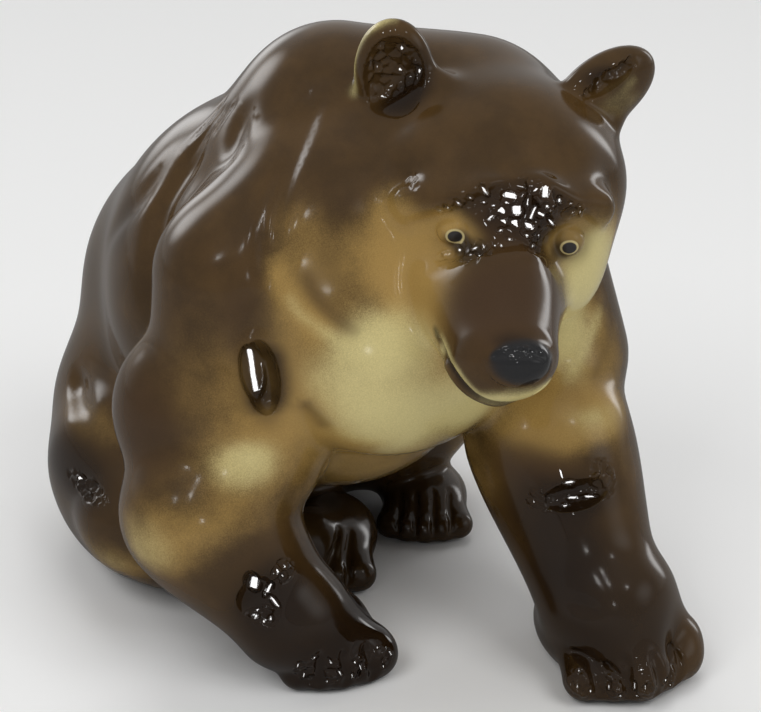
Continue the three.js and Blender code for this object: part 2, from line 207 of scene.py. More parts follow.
def onSkin(path, spot=bodySpot):     # the path's points, moved onto the skin made so far
    return spot.fromClay(settle(np.array([spot.toClay(p) for p in path]), 6, 2.0))


poolSizes = {
    "front": 9.0,                    # a pool reaches this far in front of the skin and behind it
    "fade": 3.0,                     # and fades over this length
}
facetSizes = {
    "draws": 300,                    # random points that facets may stand on
    "spread": 1.1,                   # how far past the patch's half size they lie
    "missed": 0.1,                   # farthest that one may lie off the skin
    "smoothing": 1.0,                # step that the skin's slope is taken with
    "facing": 0.76,                  # how nearly a facet must face a lamp's way to be turned to it
    "bend": 0.003,
    "blend": 1.2,                    # softness of the edges between facets
    "rim": 0.3,                      # share of the patch over which it fades out
}


def addPool(at, half, lamp, roll=0.0, bend=0.03, sink=0.0, rim=0.3, spot=bodySpot):
    at = onSkin([at], spot)[0]       # a level pool of glaze that mirrors a lamp
    x, y, z = glintWay(spot.toClay(at), lamp) @ spot.matrix
    own = Spot(at, (-math.degrees(math.asin(z)), roll, math.degrees(math.atan2(x, -y))), 1.0, spot)

    def distance(points):            # the pool faces its own -y
        x, y, z = np.moveaxis(own.fromClay(points) * own.scale, -1, 0)
        x, z = x / half[0], z / half[1]
        out = np.sqrt(x * x + z * z)
        near = np.clip((poolSizes["front"] - np.abs(y)) / poolSizes["fade"], 0, 1)
        inside = np.clip((1 - out) / rim, 0, 1) * near
        return -y + sink - bend * out * out, inside * inside * (3 - 2 * inside)

    addForm("press", own.at, max(max(half), poolSizes["front"]) * 1.05, 0, distance)


def addFacets(at, half, apart, tilt, seed, lit=0.5, spot=bodySpot):
    own = Spot(at, (0, 0, 0), 1.0, spot)         # pinched, glazed clay: flat facets on the skin
    half = np.array(half, float)
    size, spread = facetSizes, facetSizes["spread"]
    chance = np.random.default_rng(seed)
    draws = chance.uniform(-spread, spread, (size["draws"], 3)) * half
    tries = np.array([own.toClay(p) for p in draws])
    tries = settle(tries, 5, 3.0)
    middles = []
    for point in tries[np.abs(depthAt(tries)) < size["missed"]]:
        if all(np.linalg.norm(point - other) > apart for other in middles):
            middles.append(point)
    middles = np.array(middles)
    slope, length = slopeAt(middles, size["smoothing"])
    normals = slope / length[:, None]
    normals += math.tan(math.radians(tilt)) * chance.normal(0, 0.7, normals.shape)
    normals /= np.linalg.norm(normals, axis=1)[:, None]
    for n, draw in enumerate(chance.uniform(0, 1, len(middles))):
        ways = [glintWay(middles[n], lamp) for lamp in glintLamps]
        near = [way for way in ways if way @ normals[n] > size["facing"]]
        if near and draw < lit:      # some facets face a lamp
            normals[n] = near[int(draw / lit * len(near))]

    def distance(points):
        away = np.stack([((points - m) ** 2).sum(-1) for m in middles])
        weights = np.exp(-(away - away.min(0)) / size["blend"])
        floors = np.stack([(points - m) @ n for m, n in zip(middles, normals)])
        floors = floors - size["bend"] * away
        floor = (weights * floors).sum(0) / weights.sum(0)
        out = np.linalg.norm(own.fromClay(points) / half, axis=-1)
        inside = np.clip((spread - out) / size["rim"], 0, 1)
        return floor, inside * inside * (3 - 2 * inside)

    addForm("press", own.at, max(half) * spread * own.scale, 0, distance)


def meltTogether(a, b, width):
    h = np.maximum(width - np.abs(a - b), 0) / width
    return np.minimum(a, b) - h ** 3 * width / 6


def applyForm(values, near, form):
    if form["kind"] == "join":
        return meltTogether(values, near, form["melt"])
    if form["kind"] == "cut":
        return -meltTogether(-values, near, form["melt"])
    if form["kind"] == "press":
        floor, share = near
        return values + share * (floor - values)
    return values + near


floorRound = 1.2          # how softly the soles meet the floor


def cutByFloor(values, points):
    return -meltTogether(-values, points[..., 2], floorRound)


def depthAt(points):                 # the clay's distance at a list of points
    values = np.full(len(points), openSpace)
    for form in forms:
        wide = form["reach"] + (spare if form["kind"] in ("join", "cut") else 0)
        near = np.flatnonzero(((points - form["middle"]) ** 2).sum(1) < wide * wide)
        if len(near):
            values[near] = applyForm(values[near], form["distance"](points[near]), form)
    return cutByFloor(values, points)


def slopeAt(points, step=0.12):      # outward direction of the skin
    slope = np.zeros_like(points)
    for axis in range(3):
        shift = np.zeros(3)
        shift[axis] = step
        slope[:, axis] = depthAt(points + shift) - depthAt(points - shift)
    length = np.linalg.norm(slope, axis=1) / (2 * step)
    return slope / (2 * step), np.maximum(length, 1e-6)


def settle(points, rounds=1, most=1.0):          # moves points onto the clay's own surface
    for _ in range(rounds):
        slope, length = slopeAt(points)
        move = depthAt(points) / length ** 2
        points = points - np.clip(move, -most, most)[:, None] * slope
    return points


def depthOnGrid(low, high, cell):
    low = np.array(low, float)
    count = np.ceil((np.array(high) - low) / cell).astype(int) + 1
    axes = [low[n] + cell * np.arange(count[n]) for n in range(3)]
    values = np.full(count, openSpace)
    for form in forms:
        wide = form["reach"] + (spare if form["kind"] in ("join", "cut") else 0)
        first = np.clip(np.floor((form["middle"] - wide - low) / cell).astype(int), 0, count)
        last = np.clip(np.ceil((form["middle"] + wide - low) / cell).astype(int) + 1, 0, count)
        if (last <= first).any():
            continue
        window = tuple(slice(a, b) for a, b in zip(first, last))
        points = np.stack(np.meshgrid(*[axes[n][window[n]] for n in range(3)], indexing="ij"), -1)
        values[window] = applyForm(values[window], form["distance"](points), form)
    points = np.stack(np.meshgrid(*axes, indexing="ij"), -1)
    return cutByFloor(values, points), low


# Trunk

trunk = [
    {"at": (-1, 115, 45), "half": (66, 50, 53), "melt": 10},                        # rump
    {"at": (-46, 94, 32), "half": (30, 41, 36), "turn": (0, 0, 7), "melt": 10},     # right haunch
    {"at": (47, 100, 37), "half": (31, 41, 34), "turn": (0, 0, -9), "melt": 10},    # left haunch
    {"at": (-2, 107, 86), "half": (53, 54, 56), "turn": (-30, 0, 0), "melt": 18},   # loin
    {"at": (-3, 71, 101), "half": (60, 54, 61), "turn": (-20, 0, 0), "melt": 18},   # ribs
    {"at": (-2, 86, 125), "half": (46, 59, 36), "turn": (-37, 0, 0), "melt": 16},   # back
    {"at": (0, 52, 152), "half": (36, 36, 31), "melt": 14},                         # hump
    {"at": (2, 28, 128), "half": (62, 38, 48), "melt": 16},                         # shoulders
    {"at": (-2, 6, 106), "half": (42, 31, 35), "melt": 16},                         # chest
    {"at": (2, 48, 82.5), "half": (46, 43, 40), "melt": 14},                        # belly
    {"at": (0, 153, 34), "half": (13, 14, 16), "melt": 14},                         # tail
]


neck = {"start": (4, 51, 160), "end": (35, 26, 155), "radii": (33.5, 35.5), "melt": 8}


def modelTrunk():
    for form in trunk:
        addBall(**form)
    addBone(**neck)


# Legs and paws

pawSizes = {
    "pad": {"at": (0, 5, 10), "half": (18.5, 23, 14), "melt": 8},
    "toeRow": (-14.5, -7.6, 0.0, 7.6, 14.5),      # across the paw
    "toeReach": 14.5,                             # how far the outer toes reach forward
    "toeArch": 4.2,                               # how much further the middle one reaches
    "toeRoot": (0.72, -2, 10),                    # share of its place in the row, y, z
    "toeHeight": 6.8,
    "toeRadii": (6.4, 6.3),
    "toeMelt": 4.5,
    "groove": {"width": 1.3, "depth": 1.8},
    # a groove's points: share of its place in the row, y from the toes' tips, z
    "groovePath": [(1.04, -7.5, 2), (1.0, -5.5, 9), (0.93, 3, 14.5), (0.86, 12, 18.5)],
    "frontGroove": {"width": 1.5, "depth": 2.2},
}


def modelPaw(at, points, scale):     # points: where it points, in degrees
    spot = Spot(at, (0, 0, points), scale)
    row = pawSizes["toeRow"]
    addBall(spot=spot, **pawSizes["pad"])
    tips = [-pawSizes["toeReach"] - pawSizes["toeArch"] * (1 - (x / row[-1]) ** 2) for x in row]
    share, back, high = pawSizes["toeRoot"]
    for x, tip in zip(row, tips):
        addBone((x * share, back, high), (x, tip, pawSizes["toeHeight"]), pawSizes["toeRadii"],
                pawSizes["toeMelt"], spot)
    for n in range(len(row) - 1):                 # a groove runs back between two toes
        x, tip = (row[n] + row[n + 1]) / 2, (tips[n] + tips[n + 1]) / 2
        path = [(x * share, tip + y, z) for share, y, z in pawSizes["groovePath"]]
        addCrease(onSkin(path, spot), spot=spot, **pawSizes["groove"])


toeGrooves = [       # in front of the insteps: right paw, then left paw
    [(-43.5, -11, 20), (-42.7, -12, 14), (-42.3, -11, 8), (-42, -9, 3)],
    [(-35.4, -13, 18), (-35.0, -14, 13), (-34.2, -13, 8), (-34, -12, 3)],
    [(-27.0, -11, 16), (-26.0, -13, 11), (-25.4, -13, 7), (-25, -12, 3)],
    [(26.5, -55, 19), (26.8, -58, 14), (26.8, -61, 8), (27, -63, 3)],
    [(34.0, -64, 20), (33.4, -67, 15), (34.0, -68, 8), (34, -68, 3)],
    [(41.0, -68, 20), (41.0, -71, 15), (42.0, -71, 9), (42, -70, 3)],
    [(50.0, -66, 18), (51.0, -68, 13), (51.2, -69, 8), (51, -68, 3)],
]


frontLegs = [
    {"start": (-43, 33, 128), "end": (-48, 28, 76), "radii": (25.5, 28.5), "melt": 12},
    {"at": (-64, 38, 85), "half": (18, 21, 25), "melt": 10},                        # right elbow
    {"start": (-63, 23, 58), "end": (-42, 8, 21.5), "radii": (25.7, 18.2), "melt": 10},
    {"start": (50, 15, 119.5), "end": (52.5, 4, 89), "radii": (26, 26.5), "melt": 12},
    {"start": (42, -12.5, 69.5), "end": (42, -42, 25), "radii": (26.6, 20.2), "melt": 10},
    {"start": (-44, 3, 24), "end": (-34, -6, 9.5), "radii": (14, 8.5), "melt": 10},    # insteps
    {"start": (42, -48, 28), "end": (41, -64, 11), "radii": (17, 9.5), "melt": 10},
    {"at": (-29.0, 8.5, 0), "points": -13, "scale": 0.90},                          # right paw
    {"at": (46, -42.5, 0), "points": -12, "scale": 1.12},                           # left paw
    {"start": (-38, 4, 22), "end": (-22, -6, 9), "radii": (12, 8), "melt": 10},
    {"start": (50, -47, 25), "end": (60, -57, 12), "radii": (14, 8.5), "melt": 10},
]
hindLegs = [
    {"start": (-46, 94, 40), "end": (-58, 76, 31), "radii": (31, 21), "melt": 12},
    {"start": (-53.5, 65, 24), "end": (-8, 54, 14), "radii": (16, 12), "melt": 8},
    {"at": (1, 57, 0), "points": -40, "scale": 0.95},                               # right paw
    {"start": (50, 100, 44), "end": (60, 77, 41), "radii": (30, 18), "melt": 12},
    {"start": (55, 77, 30), "end": (47.5, 77, 14), "radii": (13, 9.5), "melt": 8},
    {"at": (48, 65, 0), "points": -34, "scale": 0.82},                              # left paw
]


def modelLegs():
    for form in frontLegs:
        addPart(form)
    for path in toeGrooves:
        addCrease(onSkin(path), **pawSizes["frontGroove"])
    for form in hindLegs:
        addPart(form)


def addPart(form):                   # a ball, a bone or a whole paw
    if "points" in form:
        modelPaw(**form)
    elif "half" in form:
        addBall(**form)
    else:
        addBone(**form)


# Head: x to the bear's left, y to the back, z up, from the middle of the skull

headSpot = Spot((27.7, 0, 153), (10, 3, -30))
headSizes = {
    "skull": {"at": (0, 2, 0), "half": (40, 36.7, 33), "melt": 10},
    "cheek": {"at": (17.3, -8, -16), "half": (17.4, 26.2, 22.8), "melt": 10},
    "jowl": {"at": (21.5, 8, -16), "half": (13.6, 24, 24), "melt": 10},
    "muzzle": {"start": (-1.8, -26, -7), "end": (-0.6, -64, -17), "radii": (17.6, 12.0),
               "melt": 14},
    "nose": {"at": (1, -72.5, -14), "half": (9, 6.5, 6.8), "melt": 3},
    "jaw": {"start": (-1, -24, -25), "end": (-2.5, -60, -29.5), "radii": (14, 7.5), "melt": 8},
    "chin": {"at": (-3.0, -46, -26), "half": (13.0, 20.5, 9.8), "melt": 6},
    "brow": {"start": (27, -23, 7), "end": (8, -29.5, 13), "radii": (6, 6), "melt": 10},
    "socket": {"at": (17.5, -37, 1), "half": (9, 9, 7), "depth": 2.5},
}
lips = [
    {"start": (-13.0, -36, -19), "end": (-7.0, -63, -22.5), "radii": (9.5, 7.2), "melt": 12},
    {"start": (9.7, -36, -18), "end": (3.6, -63.5, -21.0), "radii": (9.0, 6.6), "melt": 12},
    {"start": (-9.0, -42, -11.5), "end": (-5.5, -65, -18.0), "radii": (8.0, 7.3), "melt": 14},
    {"start": (-16.5, -36, -12.5), "end": (-8.2, -60, -20.0), "radii": (6.8, 6.5), "melt": 14},
    {"start": (4.2, -42, -9.5), "end": (3.2, -65, -17.0), "radii": (7.5, 7.0), "melt": 12},
]
earShell = {"at": (0, 0, 9.5), "half": (12, 7, 18), "melt": 4}
ears = {
    "right": {
        "at": (-30.7, 9, 21), "turn": (0, -5, -9),
        "hollow": {"at": (0.9, -6.8, 10.4), "half": (10.2, 6.8, 15.0), "melt": 0.7},
        "sill": {"start": (-34.5, 4.5, 15.9), "end": (-18.8, 4.8, 28.6), "radii": (5.8, 5.2),
                 "melt": 8},
        "facets": {"at": (0.9, -1.0, 11.5), "half": (9.6, 4.5, 13.5), "apart": 2.0, "tilt": 19},
    },
    "left": {
        "at": (24, 10, 21), "turn": (0, 62, 22),
        "hollow": {"at": (-6.4, -6.2, 12.0), "half": (2.9, 4.4, 11.0), "melt": 0.7},
        "sill": {"start": (25, 7, 15), "end": (33, 9, 18), "radii": (5.0, 4.5), "melt": 9},
        "facets": {"at": (-6.4, -3.0, 12.0), "half": (2.9, 3.8, 10.5), "apart": 1.7, "tilt": 18},
    },
}
faceMiddle = 1.0          # the face's own middle line lies this far to the bear's left
eyes = {
    "right": (-15.0, -36.0, 3.0),
    "left": (18.5, -35.0, -0.5),
}
eyeball = {"radius": 5.0, "sunk": 4.75, "melt": 1.5}
browEdge = [(-28, -27, 1), (-19, -33, 7.5), (-10, -35.5, 14.5), (-3, -33.5, 17), (5, -32.5, 18),
            (11, -33, 16.5), (17, -34, 11), (22.5, -32, 6.5), (28, -28, 0)]
muzzleRoot = [(-19, -34, -6), (-13.5, -39, -1), (-8.3, -42.5, 3), (-1.5, -43, 5.5), (4, -42, 6.5),
              (9.3, -39, 4.5), (15, -35, -1)]
noseRim = [(-8.5, -73, -12), (-7.5, -75, -17), (-3, -76, -20.5), (1.5, -76.3, -21.3),
           (6, -76, -20.5), (9.8, -74.5, -17), (10.5, -73, -12)]
noseTop = [(-7.5, -74, -12.5), (-5.5, -75.4, -10.6), (-2.5, -76.2, -9.0), (1.8, -76.6, -8.5),
           (6.0, -76, -10), (8.5, -74.5, -12.5)]
mouthLine = [(-19.8, -56, -18.0), (-18.0, -62, -19.5), (-16.0, -68, -20.6), (-13.6, -71, -23.0),
             (-10.2, -72, -26.2), (-5.0, -71.5, -29.2), (1.5, -70.5, -30.0), (7.5, -68.5, -28)]
upperLip = [(x + 0.8, y - 1, z + 2.0) for x, y, z in mouthLine]
lowerLip = [(x, y + 1, z - 2.2) for x, y, z in mouthLine[1:7]]
frownLine = [(5.5, -32, 19), (5.2, -36, 14), (5, -40, 9.5)]
creases = {    # of the face; beside the brow's and the muzzle's creases the clay swells again
    "brow": {"width": 2.2, "depth": 1.7, "fadeShare": 0.15},
    "browSwell": {"width": 3.2, "depth": -1.0, "fadeShare": 0.2},
    "root": {"width": 2.4, "depth": 1.6, "fadeShare": 0.15},
    "rootSwell": {"width": 2.6, "depth": -0.7},
    "frownLine": {"width": 1.2, "depth": 1.8, "fadeShare": 0.15},
    "noseRim": {"width": 1.0, "depth": 0.8, "fadeShare": 0.1},
    "noseTop": {"width": 1.1, "depth": 0.6, "fadeShare": 0.15},
    "mouth": {"width": 1.0, "depth": 2.0, "fadeShare": 0.08},
    "lowerLip": {"width": 1.3, "depth": -1.2, "fadeShare": 0.15},
    "otherMouth": {"width": 0.9, "depth": 1.5, "fadeShare": 0.08},
}
temples = [
    {"at": (-28, -21, 9), "half": (5.0, 7, 7.5), "depth": 2.2},
    {"at": (31, -19, 9), "half": (5.5, 7, 9), "depth": 1.5},
]
frown = [      # bumps between the eyes: middle, half size, height
    ((0.3, -35, 13.5), (4.2, 5, 5.0), 2.4),
    ((9.6, -34, 14.5), (3.6, 5, 4.6), 2.2),
    ((5.0, -39, 8.0), (2.6, 4, 2.4), 1.2),
    ((-10.0, -37, 8.8), (6.0, 5, 3.6), 1.2),          # fold over the right eye
    ((15.5, -34.5, 5.8), (4.0, 5, 2.6), 0.9),
]
pinched = [    # crumpled clay round the frown: middle, half size, facets apart, tilt, share lit
    ((4.5, -36, 12.5), (10.5, 8, 9.0), 2.3, 20, 0.9),
    ((-9.5, -41, 1.5), (8.5, 6, 3.4), 1.7, 19, 0.95),
    ((9.5, -40, 4.0), (5.5, 6, 3.0), 1.7, 19, 0.9),
    ((-16.8, -37, -4.5), (3.2, 5, 3.2), 1.6, 17, 0.8),
    ((-14.5, -33, 12.5), (6.0, 4, 1.8), 1.6, 18, 0.95),
    ((19.0, -33, 10.0), (6.0, 4, 3.0), 1.7, 18, 0.8),
    ((-27.0, -23.0, 10.0), (4.0, 6, 5.5), 2.4, 9, 0.0),        # temple
    ((1.5, -76, -8.8), (7.0, 3, 1.6), 1.1, 18, 1.0),           # top of the nose
]
poolSink = 0.1     # how deep the face's pools lie
facePools = [      # level glaze: middle, half size, lamp that it mirrors, roll
    ((-0.3, -34.8, 16.6), (3.2, 1.9), "high", 0),
    ((1.4, -37.2, 13.0), (2.6, 2.4), "middle", 0),
    ((9.5, -34.6, 17.6), (2.2, 2.7), "middle", 0),
    ((6.1, -37.2, 11.8), (1.3, 3.8), "high", 12),
    ((5.4, -39.0, 9.2), (2.5, 1.7), "middle", 20),
    ((12.5, -35.5, 8.1), (2.2, 1.1), "middle", 40),
    ((-7.5, -34.8, 17.4), (2.4, 1.2), "high", 40),
    ((-7.6, -35.0, 14.1), (1.3, 1.0), "middle", 0),
    ((-5.6, -37.9, 11.0), (2.2, 1.1), "high", -45),
    ((-2.6, -39.9, 8.0), (1.5, 1.1), "high", -30),
    ((13.8, -33.0, 14.2), (1.3, 1.5), "middle", 0),
    ((10.1, -37.2, 14.6), (1.4, 1.3), "middle", 0),
    ((0.0, -41.3, 5.9), (1.4, 1.1), "high", 0),
    ((4.9, -40.5, 6.6), (1.6, 1.0), "high", 0),
    ((-14.6, -33.6, 13.4), (1.7, 0.9), "high", 25),            # along the right brow
    ((-17.5, -32.8, 10.6), (1.4, 0.8), "high", 25),
    ((-9.5, -40.2, 2.0), (1.9, 1.0), "high", -30),             # muzzle root
    ((-13.3, -37.0, -0.8), (1.4, 1.2), "high", 0),
    ((-17.2, -34.9, -3.9), (1.2, 1.2), "left", 0),
    ((-4.5, -41.0, 3.6), (1.2, 0.9), "high", 0),
    ((-6.8, -41.0, 2.6), (1.0, 1.2), "middle", 0),
    ((-11.5, -39.5, 0.6), (0.8, 1.4), "high", 20),
    ((-7.5, -42.0, 0.4), (1.2, 0.8), "middle", 0),
    ((-10.5, -41.0, -1.4), (1.3, 0.7), "high", -20),
    ((-2.2, -42.2, 3.6), (1.2, 0.7), "middle", 0),
    ((8.2, -40.5, 4.2), (0.8, 1.3), "high", 0),
    ((10.6, -39.5, 5.4), (0.7, 1.2), "middle", 0),
    ((17.5, -33.5, 13.0), (1.0, 0.7), "high", 0),              # along the left brow
    ((20.5, -32.5, 12.0), (0.9, 0.7), "middle", 0),
    ((21.0, -32.5, 9.5), (0.6, 1.2), "high", 0),
    ((18.6, -33.5, 10.5), (0.8, 0.8), "middle", 0),
    ((-11.5, -34.5, 15.0), (1.3, 0.8), "high", 25),
    ((-19.5, -32.0, 9.0), (1.0, 0.6), "high", 25),
]
noseGlints = [       # a row of sparks along the top of the nose: middle, half size, lamp
    ((-3.2, -75.0, -8.8), (0.9, 0.6), "high"),
    ((-0.8, -76.0, -8.4), (0.9, 0.6), "middle"),
    ((1.6, -76.3, -8.3), (0.9, 0.6), "high"),
    ((4.2, -75.8, -8.7), (0.9, 0.6), "middle"),
    ((6.4, -74.8, -9.6), (0.6, 0.6), "high"),
    ((-1.9, -76.6, -9.8), (0.6, 0.5), "middle"),
    ((0.8, -77.2, -9.6), (0.7, 0.5), "high"),
    ((3.3, -77.0, -9.8), (0.6, 0.5), "middle"),
]


def otherSide(form, side):           # a pair's form, set on the right (-1) or the left (1)
    flipped = dict(form)
    for key in ("at", "start", "end"):
        if key in flipped:
            flipped[key] = (flipped[key][0] * side,) + tuple(flipped[key][1:])
    return flipped


def modelHead():
    addBall(spot=headSpot, **headSizes["skull"])
    for side in (-1, 1):
        addBall(spot=headSpot, **otherSide(headSizes["cheek"], side))
        addBall(spot=headSpot, **otherSide(headSizes["jowl"], side))
    addBone(spot=headSpot, **headSizes["muzzle"])
    for lip in lips:
        addBone(spot=headSpot, **lip)
    addBall(spot=headSpot, **headSizes["nose"])
    addBone(spot=headSpot, **headSizes["jaw"])
    addBall(spot=headSpot, **headSizes["chin"])
    for ear in ears.values():
        own = Spot(ear["at"], ear["turn"], 1.0, headSpot)
        addBall(spot=own, **earShell)
        addBall(spot=own, kind="cut", **ear["hollow"])
        addBone(spot=headSpot, **ear["sill"])
        addFacets(spot=own, seed=5, lit=0.85, **ear["facets"])
    for side in (-1, 1):
        addBone(spot=headSpot, **otherSide(headSizes["brow"], side))
        addDent(spot=headSpot, **otherSide(headSizes["socket"], side))


def modelFace():
    size, sunk = eyeball["radius"], eyeball["sunk"]
    for x, y, z in eyes.values():
        addBall((x, y + sunk, z), (size, size, size), eyeball["melt"], spot=headSpot)
    browSwell = [(x, y + 1, z + 4.2) for x, y, z in browEdge]
    rootSwell = [(x, y - 2, z - 3.8) for x, y, z in muzzleRoot[1:-1]]
    addCrease(browEdge, spot=headSpot, **creases["brow"])
    addCrease(browSwell, spot=headSpot, **creases["browSwell"])
    addCrease(muzzleRoot, spot=headSpot, **creases["root"])
    addCrease(rootSwell, spot=headSpot, **creases["rootSwell"])
    for middle, half, height in frown:
        addDent(middle, half, -height, spot=headSpot)
    addCrease(frownLine, spot=headSpot, **creases["frownLine"])
    addCrease(noseRim, spot=headSpot, **creases["noseRim"])
    addCrease(noseTop, spot=headSpot, **creases["noseTop"])
    addCrease(onSkin(mouthLine, headSpot), spot=headSpot, **creases["mouth"])
    addCrease(onSkin(lowerLip, headSpot), spot=headSpot, **creases["lowerLip"])
    otherMouth = [(-4 - x, y, z) for x, y, z in mouthLine[:-3]]
    addCrease(onSkin(otherMouth, headSpot), spot=headSpot, **creases["otherMouth"])
    for temple in temples:
        addDent(spot=headSpot, **temple)
    for seed, (middle, half, apart, tilt, lit) in enumerate(pinched):
        addFacets(middle, half, apart, tilt, seed, lit, headSpot)
    for middle, half, lamp, roll in facePools:
        addPool(middle, half, lamp, roll, sink=poolSink, spot=headSpot)
    for middle, half, lamp in noseGlints:
        addPool(middle, half, lamp, sink=poolSink, spot=headSpot)


# Hide: folds in the skin

folds = [
    {"path": [(-5, 33, 187), (-17, 32, 178), (-28, 22, 169), (-38, 15, 159), (-44, 11, 149),
              (-47, 6, 138), (-47, 3, 123)], "width": 4.0, "depth": 2.6},      # neck
    {"path": [(-22, 50, 178), (-29, 50, 169), (-35, 46, 161), (-42, 36, 158)],
     "width": 5.0, "depth": 1.4, "fadeShare": 0.45},                           # shoulder blade
    {"path": [(-31, 64, 164), (-37, 66, 154), (-44, 68, 145), (-50, 68, 137), (-56, 62, 126),
              (-61, 57, 112), (-62, 60, 101)], "width": 4.6, "depth": 2.6},
    {"path": [(-33, 77, 158), (-41, 76, 149), (-50, 81, 136), (-53, 91, 128), (-54, 104, 116)],
     "width": 5.0, "depth": 1.6, "fadeShare": 0.4},                            # flank
    {"path": [(-58, 120, 66), (-68, 100, 64), (-73, 84, 64), (-74, 70, 66)],
     "width": 4.0, "depth": 3.6},                                              # haunch
    {"path": [(-44, 14, 134), (-50, 8, 128), (-52, 6, 118)], "width": 3.2, "depth": 1.8},
    {"path": [(-36, 2, 152), (-41, 3, 146), (-43, 4, 138)], "width": 1.6, "depth": 0.7},
]
hairSizes = {"width": 1.3, "depth": 0.45}
hairStrokes = [      # thin strokes in the wet clay between the shoulder blades
    [(-25, 66, 173), (-30, 69, 165), (-37, 74, 153), (-42, 76, 145)],
    [(-27, 62, 172), (-31, 65, 165), (-37, 69, 155), (-42, 71, 147)],
    [(-27, 60, 172), (-31, 62, 165), (-36, 66, 157)],
    [(-26, 57, 174), (-30, 59, 168), (-35, 62, 160)],
]
bowls = [            # scooped out with a clear edge: shoulder, right wrist, above the left wrist
    {"at": (-51.6, 4.2, 107.4), "half": (5.3, 6.4, 12.3), "melt": 0.8, "turn": (0, -8, -30)},
    {"at": (-60.0, -6.5, 38.0), "half": (7.6, 6.0, 9.4), "melt": 0.8, "turn": (0, 6, -30)},
    {"at": (31.0, -42.7, 64.8), "half": (12.2, 5.4, 4.6), "melt": 0.8, "turn": (0, -12, -28)},
]
pools = [            # level glaze in the bowls: middle, half size, lamp that it mirrors, roll, bend
    ((-51.0, 6.0, 107.6), (4.2, 9.5), "low", -8, 0.11),
    ((-59.5, -2.0, 43.0), (2.6, 3.0), "high", 0, 0.03),
    ((-55.5, -3.0, 40.0), (1.4, 3.4), "low", 30, 0.03),
    ((-53.5, -4.0, 36.0), (1.2, 3.2), "middle", -40, 0.03),
    ((-60.5, -3.5, 33.0), (1.4, 1.4), "high", 0, 0.03),
    ((-58.0, -4.5, 31.0), (1.3, 1.3), "middle", 0, 0.03),
    ((-55.8, -5.0, 31.0), (1.2, 1.3), "low", 0, 0.03),
    ((30.0, -40.0, 66.5), (2.6, 1.2), "middle", -10, 0.03),
    ((31.0, -40.0, 63.5), (2.6, 1.2), "high", -10, 0.03),
    ((35.5, -42.0, 63.5), (3.2, 1.0), "right", 8, 0.03),
    ((28.5, -39.5, 62.0), (2.0, 0.9), "low", -10, 0.03),
]
toeGlints = [        # on the toes, the low lamp's: middle, half size, roll
    ((-49.0, -9, 14.0), (0.8, 2.2), 20),
    ((-47.0, -9, 8.5), (0.8, 1.9), 15),
    ((-44.7, -10, 5.5), (0.9, 0.9), 0),
    ((-44.5, -12, 16.5), (1.8, 0.8), -20),
    ((-39.7, -13, 14.0), (0.8, 1.9), -30),
    ((-37.2, -13, 9.5), (0.8, 1.9), -25),
    ((-40.7, -12, 6.5), (0.9, 0.9), 0),
    ((-32.0, -13, 12.0), (1.1, 1.1), 0),
    ((-32.6, -13, 7.5), (0.7, 1.5), 0),
    ((-28.4, -13, 9.0), (0.7, 2.0), -20),
    ((-22.4, -12, 12.5), (1.1, 0.7), 0),
    ((-19.6, -12, 10.0), (0.7, 1.9), -25),
    ((-21.0, -12, 6.5), (0.8, 1.3), 0),
    ((22.5, -57, 13.0), (1.2, 0.9), 0),
    ((21.7, -58, 9.0), (0.8, 1.3), 0),
    ((24.2, -60, 7.5), (0.8, 1.2), 0),
    ((29.8, -64, 8.5), (0.8, 1.6), 0),
    ((31.6, -66, 6.0), (0.8, 0.9), 0),
    ((36.8, -69, 15.0), (1.3, 0.9), 0),
    ((36.3, -69, 10.5), (0.7, 2.1), 0),
    ((38.6, -70, 9.5), (0.7, 1.8), 0),
    ((36.6, -69, 5.5), (0.9, 0.8), 0),
    ((45.6, -71, 9.0), (0.9, 1.1), 0),
    ((47.8, -70, 6.5), (0.8, 0.9), 0),
]
hollows = [
    {"at": (-53.5, 7, 122), "half": (3.6, 7, 8), "depth": 1.6},
    {"at": (-52, 5, 106), "half": (9, 9, 17), "depth": 1.0},
    {"at": (26, -54, 33), "half": (5, 5, 3), "depth": 1.2},
    {"at": (-74, 76, 43), "half": (8, 14, 4.5), "depth": 1.6},                 # knee
]
roughSpots = [       # middle, half size, facets apart, tilt, seed, share lit
    ((-58, -4, 31.5), (5.0, 6, 3.4), 1.8, 18, 11, 0.9),        # right wrist
    ((-51.5, -4, 46), (4.6, 6, 4.2), 2.0, 18, 12, 0.7),
    ((22.5, -35, 62.5), (4.0, 6, 3.6), 1.7, 18, 13, 0.9),      # left wrist
    ((40, -42, 68), (4.5, 6, 6.5), 2.1, 18, 14, 0.8),
    ((-76, 80, 43), (6, 14, 3.6), 2.0, 17, 15, 0.9),           # haunch
    ((-55.5, 8, 97), (2.4, 4, 4.4), 1.5, 16, 16, 0.8),         # shoulder
    ((-47, -10, 11), (3.2, 5, 6), 1.7, 18, 21, 0.95),          # front toes
    ((-38.5, -13, 10), (3.0, 5, 5), 1.7, 18, 22, 0.95),
    ((-30, -13, 9.5), (2.6, 5, 4.5), 1.7, 18, 23, 0.95),
    ((-20.5, -12, 9.5), (2.6, 5, 4.5), 1.7, 18, 24, 0.95),
    ((22, -57.5, 9), (3.0, 5, 5), 1.7, 18, 25, 0.95),
    ((30.5, -65, 9), (2.6, 5, 5.5), 1.7, 18, 26, 0.95),
    ((37.8, -70, 9.5), (3.0, 5, 6), 1.7, 18, 27, 0.95),
    ((46.5, -71, 8.5), (3.0, 5, 4), 1.7, 18, 28, 0.95),
]


